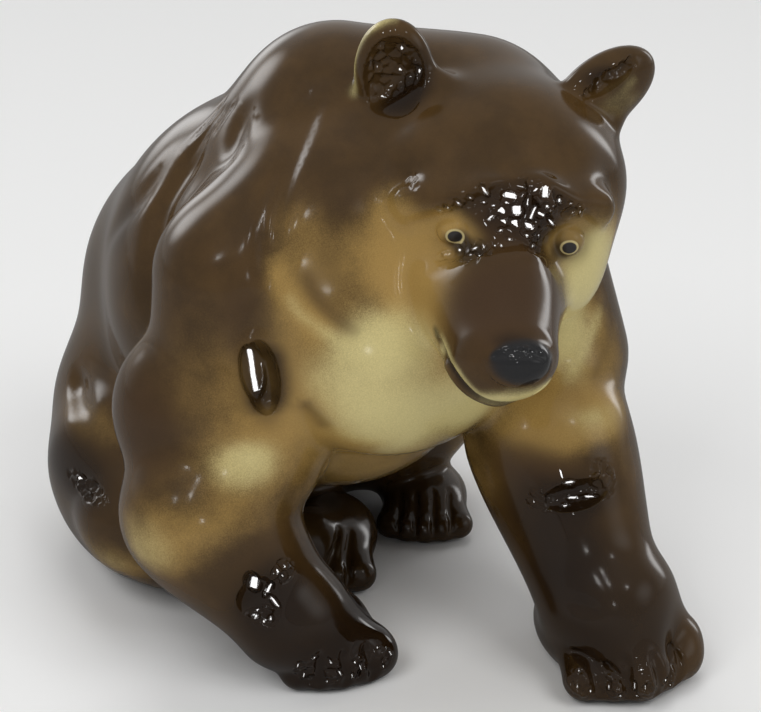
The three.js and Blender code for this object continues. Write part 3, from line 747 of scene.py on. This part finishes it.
def modelHide():
    for fold in folds:
        addCrease(**fold)
    for stroke in hairStrokes:
        addCrease(stroke, **hairSizes)
    for hollow in hollows:
        addDent(**hollow)
    for bowl in bowls:
        addBall(kind="cut", **bowl)
    for middle, half, apart, tilt, seed, lit in roughSpots:
        addFacets(middle, half, apart, tilt, seed, lit)
    for middle, half, lamp, roll, bend in pools:
        addPool(middle, half, lamp, roll, bend)
    for middle, half, roll in toeGlints:
        addPool(middle, half, "low", roll)


modelTrunk()
modelLegs()
modelHead()
modelFace()
modelHide()
report(f"modelled {len(forms)} forms")


# Skin: the surface of the clay as one even net of triangles

skinSizes = {
    "low": (-92, -80, -5),
    "high": (92, 180, 210),
    "cell": 2.2,                  # spacing of the grid that the net is read from
    "edge": 2.3,                  # longest edge on plain parts
    "slack": 1.35,                # an edge this many times too long is halved
    "rounds": 3,                  # times that long edges may be halved
    "firstRelax": (1, 0.5),       # rounds of evening out, share moved in each
    "lastRelax": (3, 0.35),
}
fineParts = [                     # where the net is finer: spot, middle, half size, longest edge
    (headSpot, (1, -40, 4), (24, 30, 24), 0.9),                # eyes, frown and muzzle
    (headSpot, (2, -37, 8), (20, 14, 14), 0.5),
    (headSpot, (1, -66, -18), (16, 18, 14), 0.75),             # nose and mouth
    (headSpot, (1.5, -76, -8.6), (8, 5, 3), 0.45),
    (headSpot, (-31, 6, 30), (17, 12, 24), 1.0),               # right ear
    (headSpot, (-29, 4, 31), (11, 10, 16), 0.65),
    (headSpot, (38, 8, 27), (22, 14, 16), 1.0),                # left ear
    (headSpot, (32, 8, 34), (8, 7, 6), 0.6),
    (bodySpot, (-29, -6, 10), (24, 20, 15), 1.0),              # front right paw
    (bodySpot, (-29, -8, 9), (17, 9, 8), 0.6),
    (bodySpot, (42, -64, 10), (28, 20, 15), 1.0),              # front left paw
    (bodySpot, (40, -66, 9), (21, 8, 8), 0.6),
    (bodySpot, (-6, 45, 10), (26, 24, 18), 1.4),               # hind paws
    (bodySpot, (42, 54, 10), (22, 22, 16), 1.4),
    (bodySpot, (-52, 5, 108), (8, 8, 16), 0.7),                # shoulder hollow
    (bodySpot, (-56, -5, 40), (10, 9, 13), 0.65),              # wrists
    (bodySpot, (31, -40, 65), (15, 10, 11), 0.65),
    (bodySpot, (-76, 80, 43), (6, 15, 5), 0.8),                # haunch
    (bodySpot, (-31, 63, 166), (11, 14, 14), 1.2),             # hair strokes
]

cubeCorners = [(i, j, k) for i in (0, 1) for j in (0, 1) for k in (0, 1)]
cubeSides = [(0, 1, 3, 2), (4, 5, 7, 6), (0, 1, 5, 4), (2, 3, 7, 6), (0, 2, 6, 4), (1, 3, 7, 5)]


def isTangled(inside):               # the clay touches itself in this grid cell
    crossed = any(inside[a] == inside[c] and inside[b] == inside[d] and inside[a] != inside[b]
                  for a, b, c, d in cubeSides)
    count = sum(inside)
    apart = any(inside[n] == inside[7 - n] and
                all(inside[m] != inside[n] for m in range(8) if m not in (n, 7 - n))
                for n in range(4))
    return crossed or (count in (2, 6) and apart)


def untangle(values):
    while True:
        inside = values < 0
        cells = [inside[i:inside.shape[0] - 1 + i, j:inside.shape[1] - 1 + j,
                        k:inside.shape[2] - 1 + k] for i, j, k in cubeCorners]
        code = sum(cell.astype(np.int32) << n for n, cell in enumerate(cells))
        tangledCodes = [c for c in range(256) if isTangled([(c >> n) & 1 for n in range(8)])]
        found = np.argwhere(np.isin(code, tangledCodes))
        if not len(found):
            return
        for i, j, k in found:
            corners = [(i + a, j + b, k + c) for a, b, c in cubeCorners]
            shallow = min((c for c in corners if values[c] >= 0), key=lambda c: values[c],
                          default=None)
            if shallow is not None:
                values[shallow] = -0.2 * max(values[shallow], 0.05)


def readNet(values, low, cell):
    solid = values < 0
    nx, ny, nz = values.shape
    filled = sum(solid[i:nx - 1 + i, j:ny - 1 + j, k:nz - 1 + k].astype(np.int8)
                 for i, j, k in cubeCorners)
    active = np.argwhere((filled > 0) & (filled < 8))
    index = -np.ones((nx - 1, ny - 1, nz - 1), np.int64)
    index[tuple(active.T)] = np.arange(len(active))
    total, crossings = np.zeros((len(active), 3)), np.zeros(len(active))
    for corner in cubeCorners:
        for axis in range(3):
            if corner[axis]:
                continue
            other = list(corner)
            other[axis] = 1
            here = values[tuple((active + corner).T)]
            there = values[tuple((active + other).T)]
            crossed = (here < 0) != (there < 0)
            t = np.where(crossed, here / np.where(here == there, 1, here - there), 0)
            place = np.tile(np.array(corner, float), (len(active), 1))
            place[:, axis] += t
            total[crossed] += place[crossed]
            crossings[crossed] += 1
    points = (active + total / crossings[:, None]) * cell + low
    quads = []
    for axis in range(3):
        u, v = [(1, 2), (2, 0), (0, 1)][axis]
        before = [slice(None)] * 3
        after = [slice(None)] * 3
        before[axis], after[axis] = slice(0, -1), slice(1, None)
        a, b = solid[tuple(before)], solid[tuple(after)]
        edges = np.argwhere(a != b)
        edges = edges[(edges[:, u] > 0) & (edges[:, v] > 0) &
                      (edges[:, u] < values.shape[u] - 1) & (edges[:, v] < values.shape[v] - 1)]
        inward = a[tuple(edges.T)]
        ring = []
        for du, dv in ((1, 1), (0, 1), (0, 0), (1, 0)):
            cellOf = edges.copy()
            cellOf[:, u] -= du
            cellOf[:, v] -= dv
            ring.append(index[tuple(cellOf.T)])
        quad = np.stack(ring, 1)
        quad[~inward] = quad[~inward][:, ::-1]
        quads.append(quad)
    quads = np.concatenate(quads)
    across = (np.linalg.norm(points[quads[:, 0]] - points[quads[:, 2]], axis=1) <=
              np.linalg.norm(points[quads[:, 1]] - points[quads[:, 3]], axis=1))
    one, two = quads[across], quads[~across]
    triangles = np.concatenate([one[:, [0, 1, 2]], one[:, [0, 2, 3]],
                                two[:, [1, 2, 3]], two[:, [1, 3, 0]]])
    return points, triangles


def edgesOf(triangles):
    pairs = np.sort(np.concatenate([triangles[:, [0, 1]], triangles[:, [1, 2]],
                                    triangles[:, [2, 0]]]), axis=1)
    edges, where = np.unique(pairs, axis=0, return_inverse=True)
    return edges, where.reshape(3, -1).T


def longestEdge(points):             # wanted edge length at each point
    wanted = np.full(len(points), skinSizes["edge"])
    for spot, middle, half, edge in fineParts:
        out = np.linalg.norm((points - spot.toClay(middle)) / np.array(half, float), axis=1)
        share = np.clip((out - 1) / 0.6, 0, 1)
        wanted = np.minimum(wanted, edge + (skinSizes["edge"] - edge) * share)
    return wanted


def halveLongEdges(points, triangles):
    edges, sides = edgesOf(triangles)
    a, b = points[edges[:, 0]], points[edges[:, 1]]
    middles = (a + b) / 2
    marked = np.linalg.norm(a - b, axis=1) > skinSizes["slack"] * longestEdge(middles)
    added = np.full(len(edges), -1)
    added[marked] = len(points) + np.arange(marked.sum())
    points = np.concatenate([points, middles[marked]])
    split = added[sides]             # the new point on each side, or -1
    count = (split >= 0).sum(1)
    kept = [triangles[count == 0]]
    t, s = triangles[count == 3], split[count == 3]
    kept += [np.stack([t[:, 0], s[:, 0], s[:, 2]], 1), np.stack([t[:, 1], s[:, 1], s[:, 0]], 1),
             np.stack([t[:, 2], s[:, 2], s[:, 1]], 1), s]
    for n in range(3):
        turned = [n, (n + 1) % 3, (n + 2) % 3]
        one = (count == 1) & (split[:, n] >= 0)
        t, s = triangles[one][:, turned], split[one][:, n]
        kept += [np.stack([t[:, 0], s, t[:, 2]], 1), np.stack([s, t[:, 1], t[:, 2]], 1)]
        two = (count == 2) & (split[:, n] < 0)
        t, s = triangles[two][:, turned], split[two][:, turned]
        kept += [np.stack([t[:, 2], s[:, 2], s[:, 1]], 1), np.stack([t[:, 0], t[:, 1], s[:, 1]], 1),
                 np.stack([t[:, 0], s[:, 1], s[:, 2]], 1)]
    return points, np.concatenate(kept)


def relax(points, triangles, rounds, share):             # evens the net out along the surface
    edges, _ = edgesOf(triangles)
    count = np.bincount(edges.ravel(), minlength=len(points))[:, None]
    for _ in range(rounds):
        total = np.zeros_like(points)
        for axis in range(3):
            total[:, axis] = (np.bincount(edges[:, 0], points[edges[:, 1], axis], len(points)) +
                              np.bincount(edges[:, 1], points[edges[:, 0], axis], len(points)))
        points = points + share * (total / count - points)
        points = settle(points)
    return points


def makeSkin():
    values, low = depthOnGrid(skinSizes["low"], skinSizes["high"], skinSizes["cell"])
    untangle(values)
    points, triangles = readNet(values, low, skinSizes["cell"])
    points = relax(points, triangles, *skinSizes["firstRelax"])
    report(f"read a net of {len(triangles)} triangles")
    for _ in range(skinSizes["rounds"]):
        points, triangles = halveLongEdges(points, triangles)
    points = settle(relax(points, triangles, *skinSizes["lastRelax"]))
    slope, length = slopeAt(points)
    report(f"refined it to {len(triangles)} triangles")
    return points, triangles, slope / length[:, None]


# Coat: airbrushed colours, with a few painted highlights and painted shade among them, each a set
# of soft puffs over the darker ground

coatColors = {
    "brown": (0.054, 0.029, 0.009),
    "ochre": (0.39, 0.245, 0.072),
    "cream": (0.64, 0.55, 0.25),
    "umber": (0.052, 0.026, 0.010),
    "dark": (0.014, 0.007, 0.003),
}
coatOrder = ("ochre", "cream", "umber", "dark")
puffs = {      # middle, half size, strength
    "ochre": [
        ((-36, -6, 130), (12, 18, 17), 0.52),        # neck below the cheek
        ((-44, -2, 108), (12, 16, 22), 0.55),
        ((-12, -20, 136), (15, 16, 16), 0.8),        # right cheek
        ((-36, 4, 146), (10, 14, 14), 0.36),
        ((12, -22, 112), (38, 26, 26), 0.9),         # throat
        ((-62, 10, 104), (15, 22, 26), 0.27),        # right upper arm
        ((-80, 6, 74), (14, 20, 12), 0.15),
        ((-58, 0, 80), (14, 18, 11), 0.58),          # inside of the right elbow
        ((-68, 2, 66), (20, 18, 8), 0.28),           # right forearm
        ((-84, 10, 58), (16, 18, 12), 0.46),
        ((-24, -4, 92), (34, 26, 22), 0.85),         # chest
        ((48, -22, 100), (18, 22, 18), 0.62),        # left upper arm
        ((40, -34, 84), (20, 14, 8), 0.85),
        ((26, -26, 84), (13, 14, 11), 0.62),
        ((52, -34, 72), (8, 12, 12), 0.25),
        ((0, 20, 66), (40, 40, 20), 0.75),           # belly
        ((-64, 92, 60), (12, 18, 7), 0.30),          # right haunch
        ((-76, 66, 20), (12, 22, 10), 0.45),
        ((70, 66, 28), (16, 26, 18), 0.5),
        ((-64, 50, 108), (12, 14, 10), 0.2),         # flank
    ],
    "cream": [
        ((-22, -17, 119), (15, 18, 11), 0.85),       # lower cheek
        ((-33, -12, 110), (12, 14, 9), 0.55),        # chest, right
        ((-18, -18, 98), (24, 18, 14), 0.92),        # chest, middle
        ((-6, -12, 84), (18, 16, 12), 0.3),
        ((8, -22, 98), (14, 18, 14), 0.92),
        ((-59, 1, 81), (11, 14, 7.5), 0.72),           # inside of the right elbow: cream paint with a painted highlight on it
        ((-88, 12, 57), (8, 13, 10), 0.32),           # outer edge of the forearm
        ((36, -34, 130), (14, 18, 18), 0.97),        # left cheek: cream paint with a painted highlight along its rim
        ((20, -34, 112), (14, 16, 9), 0.8),          # under the left cheek
        ((43, -18, 107), (10, 15, 13), 0.9),         # left arm beside the muzzle
        ((46, -36, 83), (13, 12, 5), 0.30),
        ((-78, 62, 20), (7, 14, 7), 0.35),
    ],
    "umber": [
        ((-32, 0, 138), (5, 10, 11), 0.35),          # neck behind the cheek
        ((-55, 10, 124), (9, 12, 12), 0.45),         # round the shoulder hollow: darker where glaze pools, and painted shade
        ((-50, 4, 106), (7, 10, 14), 0.75),
        ((-80, 30, 90), (10, 20, 18), 0.6),          # outside of the arm
        ((22, -28, 72), (12, 16, 8), 0.6),
        ((56, -34, 72), (9, 14, 12), 0.5),
    ],
    "dark": [
        ((-34, -6, 10), (36, 38, 30), 0.98),         # front right paw
        ((-56, -6, 37), (14, 15, 16), 0.9),
        ((36, -54, 20), (26, 30, 34), 0.8),         # front left paw and wrist
        ((27, -42, 46), (12, 16, 18), 0.8),
        ((31, -42, 64), (13, 9, 7), 0.8),
        ((20, -34, 60), (12, 14, 12), 0.6),
        ((0, 46, 8), (36, 34, 22), 0.55),            # hind paws
        ((48, 58, 8), (34, 30, 26), 0.5),
        ((-76, 92, 44), (14, 26, 14), 0.85),         # haunch
        ((-56, 88, 132), (8, 14, 16), 0.5),          # flank
    ],
}
strokes = {    # path, width, strength
    "ochre": [
        ([(-44, 8, 144), (-44, 4, 135), (-41, -1, 126), (-35, -9, 121)], 3.8, 0.65),
        ([(-90, 12, 57), (-80, 4, 62), (-70, 0, 67), (-62, -2, 72)], 6.5, 0.25),
    ],
    "cream": [
        ([(-44, 3, 134), (-41, -1, 126), (-35, -9, 121), (-30, -14, 115)], 2.4, 0.4),
        ([(24, -30, 92), (36, -34, 87), (46, -34, 84)], 3.0, 0.35),
        ([(-12, -20, 92), (-16, -18, 84), (-20, -10, 76)], 5.0, 0.4),
        ([(60, -15, 112), (50, -20, 101), (38, -25, 93)], 2.2, 0.45),
    ],
    "umber": [
        ([(-39, 2, 142), (-37.5, -2, 132.5), (-33.5, -8, 126), (-28, -14, 122)], 3.2, 0.55),
        ([(-42, -2, 101), (-38, -5, 95), (-36, -7, 90)], 4.0, 0.55),
        ([(64, -14, 106), (56, -20, 97), (46, -26, 90)], 2.4, 0.45),
    ],
    "dark": [
        # in the shoulder hollow: darker where glaze pools, and painted shade
        ([(-50, 6, 118), (-50, 5, 106), (-51, 5, 95)], 6.5, 0.92),
        # painted shade in the lower end of the crease between shoulder and flank
        ([(-60, 57, 112), (-61, 60, 101)], 4.0, 0.4),
    ],
}
headPuffs = {  # the same in the head's own coordinates
    "ochre": [
        ((-15, -36, 4.5), (8, 12, 6), 0.95),
        ((19, -34, 0), (9, 13, 8.5), 0.8),
        ((-26, -30, -8), (14, 14, 13), 0.97),
        ((-24, -38, -18), (9, 12, 10), 0.9),
        ((28, -24, -12), (12, 16, 17), 0.9),
        ((-31, -24, 3), (8, 11, 7), 0.72),
        ((-41, -29, -5), (8, 10, 10), 0.42),
        ((-17, -48, -14), (4, 10, 6), 0.30),                   # right side of the muzzle
    ],
    "cream": [
        # left cheek: cream paint with a painted highlight along its rim
        ((29, -26, -16), (9, 14, 14), 0.75),
        ((27, -26, -4), (3.0, 8, 6), 0.6),
        ((-18.6, -60, -19.4), (1.3, 2.4, 1.6), 0.7),           # corner of the mouth
        ((2, -72, -26), (11, 8, 5), 0.75),                     # below the nose
        ((37, 8, 24), (9, 9, 4), 0.2),
    ],
    "umber": [
        ((-2, -52, -8), (18, 24, 13), 0.96),                   # muzzle
        ((4, -37, 12), (15, 9, 9.5), 0.95),                    # frown
        ((22, -33, -1), (8, 9, 7), 0.5),
    ],
    "dark": [
        ((4, -37, 12), (16, 7, 9), 0.75),
        ((-11, -39, 0.5), (9, 6, 3), 0.5),
        ((-9, -41, 1), (8, 7, 4), 0.6),
        ((10, -39, 3), (6, 7, 4), 0.6),
        ((0, -75, -7.5), (9, 6, 3), 0.6),                      # upper part of the nose
        ((-20, -55, -17.4), (1.6, 3, 2.0), 0.7),
        ((-29, 3, 30), (10, 6, 15), 0.95),                     # inside the ears
        ((33, 5, 34), (12, 5, 5), 0.9),
    ],
}
headStrokes = {
    "ochre": [],
    "cream": [
        ([(-8, -72, -25.5), (-3, -73, -27.0), (2, -73, -27.0), (7, -71.5, -25.0), (11, -69, -21)],
         3.2, 0.95),                                           # below the nose
        (upperLip, 1.3, 0.85),
        ([(-42.5, 9, 22), (-44, 10.5, 33), (-42, 10.5, 42), (-36.5, 9.5, 48), (-31, 9, 49)],
         2.0, 0.7),                                            # rim of the right ear
        ([(31, 8, 25), (37, 9, 29), (41, 11, 32)], 2.2, 0.3),  # rim of the left ear: pale paint with a painted highlight on it
    ],
    "umber": [],
    "dark": [
        (browEdge[1:-1], 2.2, 0.4),
        (mouthLine, 1.1, 0.95),
    ],
}


def coatWeight(points, name):
    clear = np.ones(len(points))
    layers = ((bodySpot, puffs, strokes), (headSpot, headPuffs, headStrokes))
    for spot, softSpots, softLines in layers:
        local = spot.fromClay(points)
        for middle, half, strength in softSpots[name]:
            out = (((local - middle) / np.array(half, float)) ** 2).sum(1)
            clear *= 1 - strength * np.exp(-out ** 1.5)
        for path, width, strength in softLines[name]:
            away, share = alongPath(local, roundPath(np.array(path, float)))
            ends = np.clip(np.minimum(share, 1 - share) / 0.2, 0, 1)
            clear *= 1 - strength * np.sqrt(ends) * np.exp(-(away / width) ** 2)
    return 1 - clear


def glossWeight(points):             # 1 where pinched clay holds a thick, glassy glaze
    clear = np.ones(len(points))
    for form in forms:
        if form["kind"] == "press":
            away = np.linalg.norm(points - form["middle"], axis=1) / form["reach"]
            clear *= 1 - np.clip((1.25 - away) / 0.3, 0, 1)
    return 1 - clear


def toMetres(points):
    return (points - np.array(clayCentre)) / 1000


def buildMesh(name, points, triangles, normals, weights):
    mesh = bpy.data.meshes.new(name)
    mesh.vertices.add(len(points))
    mesh.vertices.foreach_set("co", toMetres(points).astype(np.float32).ravel())
    mesh.loops.add(triangles.size)
    mesh.loops.foreach_set("vertex_index", triangles.astype(np.int32).ravel())
    mesh.polygons.add(len(triangles))
    mesh.polygons.foreach_set("loop_start", np.arange(0, triangles.size, 3, dtype=np.int32))
    mesh.polygons.foreach_set("use_smooth", np.ones(len(triangles), bool))
    for key, values in weights.items():
        attribute = mesh.attributes.new(key, "FLOAT", "POINT")
        attribute.data.foreach_set("value", values.astype(np.float32))
    mesh.update(calc_edges=True)
    mesh.validate()
    mesh.normals_split_custom_set_from_vertices(normals.astype(np.float32))
    piece = bpy.data.objects.new(name, mesh)
    bpy.context.scene.collection.objects.link(piece)
    return piece


# Shader sums

class Wire:                          # wraps a socket, so that sums on it add Math nodes
    def __init__(self, graph, socket):
        self.graph, self.socket = graph, socket

    def sum(self, operation, *values):
        return self.graph.add("ShaderNodeMath", {"operation": operation}, dict(enumerate(values)))

    def __add__(self, other):
        return self.sum("ADD", self, other)

    def __sub__(self, other):
        return self.sum("SUBTRACT", self, other)

    def __rsub__(self, other):
        return self.sum("SUBTRACT", other, self)

    def __mul__(self, other):
        return self.sum("MULTIPLY", self, other)

    __radd__, __rmul__ = __add__, __mul__


class Graph:                         # one material's or the world's nodes
    def __init__(self, tree):
        self.tree = tree
        tree.nodes.clear()

    def add(self, kind, settings=None, inputs=None, output=0):
        node = self.tree.nodes.new(kind)
        for key, value in (settings or {}).items():
            setattr(node, key, value)
        for key, value in (inputs or {}).items():
            if isinstance(value, Wire):
                self.tree.links.new(value.socket, node.inputs[key])
            else:
                node.inputs[key].default_value = value
        return Wire(self, node.outputs[output]) if node.outputs else node

    def between(self, value, low, high):         # 0 at low, 1 at high, smooth in between
        return self.add("ShaderNodeMapRange", {"interpolation_type": "SMOOTHSTEP"},
                        {"Value": value, "From Min": low, "From Max": high})

    def mix(self, share, first, second):
        return self.add("ShaderNodeMix", {"data_type": "RGBA"},
                        {0: share, 6: first, 7: second}, 2)

    def noise(self, place, scale, detail=2.0, roughness=0.5):
        return self.add("ShaderNodeTexNoise", None,
                        {"Vector": place, "Scale": scale, "Detail": detail, "Roughness": roughness})

    def attribute(self, name):
        return self.add("ShaderNodeAttribute", {"attribute_name": name}, None, "Fac")

    def along(self, vector, axis):
        return self.add("ShaderNodeVectorMath", {"operation": "DOT_PRODUCT"},
                        {0: vector, 1: tuple(axis)}, "Value")

    def turned(self, place, spot):               # the place in a spot's own frame, in its units
        middle = toMetres(spot.at)
        moved = self.add("ShaderNodeVectorMath", {"operation": "SUBTRACT"}, {0: place, 1: middle})
        rows = [self.add("ShaderNodeVectorMath", {"operation": "DOT_PRODUCT"},
                         {0: moved, 1: tuple(1000 * spot.matrix[:, n] / spot.scale)}, "Value")
                for n in range(3)]
        return self.add("ShaderNodeCombineXYZ", None, dict(enumerate(rows)))

    def outFrom(self, place, middle, half):      # 1 on the shell of an ellipsoid, 0 at its middle
        moved = self.add("ShaderNodeVectorMath", {"operation": "SUBTRACT"}, {0: place, 1: middle})
        shrunk = self.add("ShaderNodeVectorMath", {"operation": "DIVIDE"}, {0: moved, 1: half})
        return self.add("ShaderNodeVectorMath", {"operation": "LENGTH"}, {0: shrunk}, "Value")


def rgba(color):
    return tuple(color) + (1.0,)


paint = {
    "pupil": (0.030, 0.027, 0.026),
    "ring": (0.56, 0.46, 0.22),
    "lid": (0.045, 0.030, 0.018),
    "nose": (0.017, 0.017, 0.018),
    "pupilSize": 1.95,
    "ringSize": 2.55,
    "lidSize": 5.6,
    "soften": 0.35,
}


glaze = {      # scales are those of Blender's noise, per metre
    "grainScale": 2600,
    "cloudScale": 55,
    "detail": (2.0, 4.0),          # of the grain, of the clouds
    "roughNoise": 0.6,
    "grainShare": 0.45,            # how much they break up the edges of the coat
    "cloudShare": 0.9,
    "paleClouds": 1.45,            # how much paler the brown is in the clouds
    "roughness": 0.15,             # on the smooth skin
    "glassy": 0.12,                # how much lower it is on thick, glassy glaze
    "waveScale": 90,
    "waveStrength": 0.04,
    "waveHeight": 0.0006,
    "refraction": 1.5,
}


def makeGlaze():
    material = bpy.data.materials.new("glazedCoat")
    material.use_nodes = True
    g = Graph(material.node_tree)
    place = g.add("ShaderNodeTexCoord", None, None, "Object")
    head = g.turned(place, headSpot)

    grain = g.noise(place, glaze["grainScale"], glaze["detail"][0], glaze["roughNoise"])
    cloud = g.noise(place, glaze["cloudScale"], glaze["detail"][1], glaze["roughNoise"])
    breakUp = (grain - 0.5) * glaze["grainShare"] + (cloud - 0.5) * glaze["cloudShare"]
    color = g.mix(g.between(cloud, 0.35, 0.7), rgba(coatColors["brown"]),
                  rgba([glaze["paleClouds"] * part for part in coatColors["brown"]]))
    for name in coatOrder:
        weight = g.attribute(name)
        share = g.between(weight + breakUp * weight * (1 - weight) * 3, 0.0, 1.0)
        color = g.mix(share, color, rgba(coatColors[name]))
    soften = paint["soften"]
    for x, y, z in eyes.values():
        out = g.outFrom(head, (x, y, z), (1, 1.6, 0.9))
        lid = g.outFrom(head, (x + (faceMiddle - x) * 0.08, y, z - 1.3), (1.1, 2, 0.85))
        color = g.mix(0.85 * (1 - g.between(lid, paint["lidSize"] * 0.35, paint["lidSize"])), color,
                      rgba(paint["lid"]))
        color = g.mix(1 - g.between(out, paint["ringSize"], paint["ringSize"] + soften), color,
                      rgba(paint["ring"]))
        color = g.mix(1 - g.between(out, paint["pupilSize"], paint["pupilSize"] + soften), color,
                      rgba(paint["pupil"]))
    nose = g.outFrom(head, headSizes["nose"]["at"], headSizes["nose"]["half"])
    color = g.mix(1 - g.between(nose, 1.0, 1.1), color, rgba(paint["nose"]))
    speckled = g.add("ShaderNodeMix", {"data_type": "RGBA", "blend_type": "MULTIPLY"},
                     {0: 1.0, 6: color, 7: g.mix(grain, rgba([0.8] * 3), rgba([1.2] * 3))}, 2)

    waves = g.noise(place, glaze["waveScale"])
    bump = g.add("ShaderNodeBump", None, {
        "Strength": glaze["waveStrength"], "Distance": glaze["waveHeight"], "Height": waves})
    surface = g.add("ShaderNodeBsdfPrincipled", None, {
        "Base Color": speckled,
        "Roughness": glaze["roughness"] - glaze["glassy"] * g.attribute("gloss"),
        "IOR": glaze["refraction"], "Normal": bump})
    g.add("ShaderNodeOutputMaterial", None, {"Surface": surface})
    return material


# Camera

def aim(thing, target):
    thing.rotation_mode = "QUATERNION"
    thing.rotation_quaternion = (Vector(target) - thing.location).to_track_quat("-Z", "Y")


def makeCamera():
    data = bpy.data.cameras.new("photoCamera")
    data.lens, data.sensor_width = cameraSizes["lens"], cameraSizes["sensor"]
    data.clip_start, data.clip_end = 0.01, 50
    camera = bpy.data.objects.new("photoCamera", data)
    camera.location = cameraPlace
    aim(camera, cameraSizes["target"])
    bpy.context.scene.collection.objects.link(camera)
    bpy.context.scene.camera = camera


# Studio: a pale floor, bright paper behind, soft light at the sides and a few small lamps

studio = {
    "floorHalf": 3.0,
    "floorColor": (0.92, 0.92, 0.915),
    "floorRoughness": 0.6,
    "floorGloss": 0.1,
    "mirroredFloor": (0.30, 0.30, 0.30),   # how pale the glaze mirrors the floor
    "paper": 1.0,                  # what the camera sees behind the floor
    "behind": 0.50,                # brightness of the paper behind the bear, as mirrored in it
    "ahead": 0.25,                 # brightness of the room on the camera's side
    "above": 0.30,
}
softLights = [  # turn round the bear, rise, half width, half height, sharpness, brightness
    (-161, 24, 0.31, 0.32, 0.25, 3.6),
    (171, 8, 0.34, 0.26, 0.10, 1.7),
    (93, 14, 0.13, 0.36, 0.25, 3.6),
    (35, 20, 0.45, 0.35, 0.10, 0.5),
]
keyLights = {   # turn round the bear, rise, distance, size, watts; the glaze doesn't mirror them
    "keyLeft": (-70, 48, 2.5, 1.2, 16),
    "keyRight": (10, 50, 2.5, 1.2, 14),
    "keyTop": (150, 75, 2.5, 1.4, 14),
}


def addLight(name, place, width, height, watts, mirrored):
    light = bpy.data.lights.new(name, "AREA")
    light.shape, light.size, light.size_y, light.energy = "RECTANGLE", width, height, watts
    lamp = bpy.data.objects.new(name, light)
    lamp.visible_glossy = mirrored
    lamp.location = place
    aim(lamp, studioMiddle)
    bpy.context.scene.collection.objects.link(lamp)


def makeStudio():
    half = studio["floorHalf"]
    mesh = bpy.data.meshes.new("studioFloor")
    mesh.from_pydata([(-half, -half, 0), (half, -half, 0), (half, half, 0), (-half, half, 0)], [],
                     [(0, 1, 2, 3)])
    floor = bpy.data.objects.new("studioFloor", mesh)
    bpy.context.scene.collection.objects.link(floor)
    material = bpy.data.materials.new("studioFloor")
    material.use_nodes = True
    g = Graph(material.node_tree)
    mirrored = g.add("ShaderNodeLightPath", None, None, "Is Glossy Ray")
    color = g.mix(mirrored, rgba(studio["floorColor"]), rgba(studio["mirroredFloor"]))
    surface = g.add("ShaderNodeBsdfPrincipled", None, {
        "Base Color": color, "Roughness": studio["floorRoughness"],
        "Specular IOR Level": studio["floorGloss"]})
    g.add("ShaderNodeOutputMaterial", None, {"Surface": surface})
    mesh.materials.append(material)

    world = bpy.data.worlds.new("studioRoom")
    bpy.context.scene.world = world
    world.use_nodes = True
    g = Graph(world.node_tree)
    towards = g.add("ShaderNodeTexCoord", None, None, "Generated")
    ahead = g.along(towards, direction(cameraSizes["turn"], 0))
    behind = 1 - g.between(ahead, -0.55, -0.05)
    bright = studio["ahead"] + (studio["behind"] - studio["ahead"]) * behind
    above = g.between(g.along(towards, (0, 0, 1)), 0.45, 0.85)
    bright = bright + (studio["above"] - bright) * above
    for turn, rise, halfWide, halfHigh, sharp, brightness in softLights:
        middle, side = direction(turn, rise), direction(turn + 90, 0)
        upward = np.cross(side, middle)
        spread = g.add("ShaderNodeCombineXYZ", None, {
            0: g.along(towards, side / halfWide), 1: g.along(towards, upward / halfHigh)})
        out = g.add("ShaderNodeVectorMath", {"operation": "LENGTH"}, {0: spread}, "Value")
        facing = g.between(g.along(towards, middle), 0.0, 0.1)
        bright = bright + brightness * facing * (1 - g.between(out, sharp, 1.0))
    seen = g.add("ShaderNodeLightPath", None, None, "Is Camera Ray")
    strength = bright + (studio["paper"] - bright) * seen
    background = g.add("ShaderNodeBackground", None, {"Color": (1, 1, 1, 1), "Strength": strength})
    g.add("ShaderNodeOutputWorld", None, {"Surface": background})

    for name, (turn, rise, distance, size, watts) in keyLights.items():
        addLight(name, placeOf(studioMiddle, distance, turn, rise), size, size, watts, False)
    for name, (turn, rise) in glintLamps.items():
        addLight(name + "Lamp", placeOf(studioMiddle, lampSizes["distance"], turn, rise),
                 lampSizes["width"], lampSizes["height"], lampSizes["watts"], True)
    bpy.context.scene.view_settings.view_transform = "Standard"


# The bear, its coat and its stage

points, triangles, normals = makeSkin()
weights = {name: coatWeight(points, name) for name in coatOrder}
weights["gloss"] = glossWeight(points)
bear = buildMesh("bearSkin", points, triangles, normals, weights)
bear.data.materials.append(makeGlaze())
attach(bear, "root")
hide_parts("bear")
report("built the skin")
makeCamera()
makeStudio()
report("set up the studio")
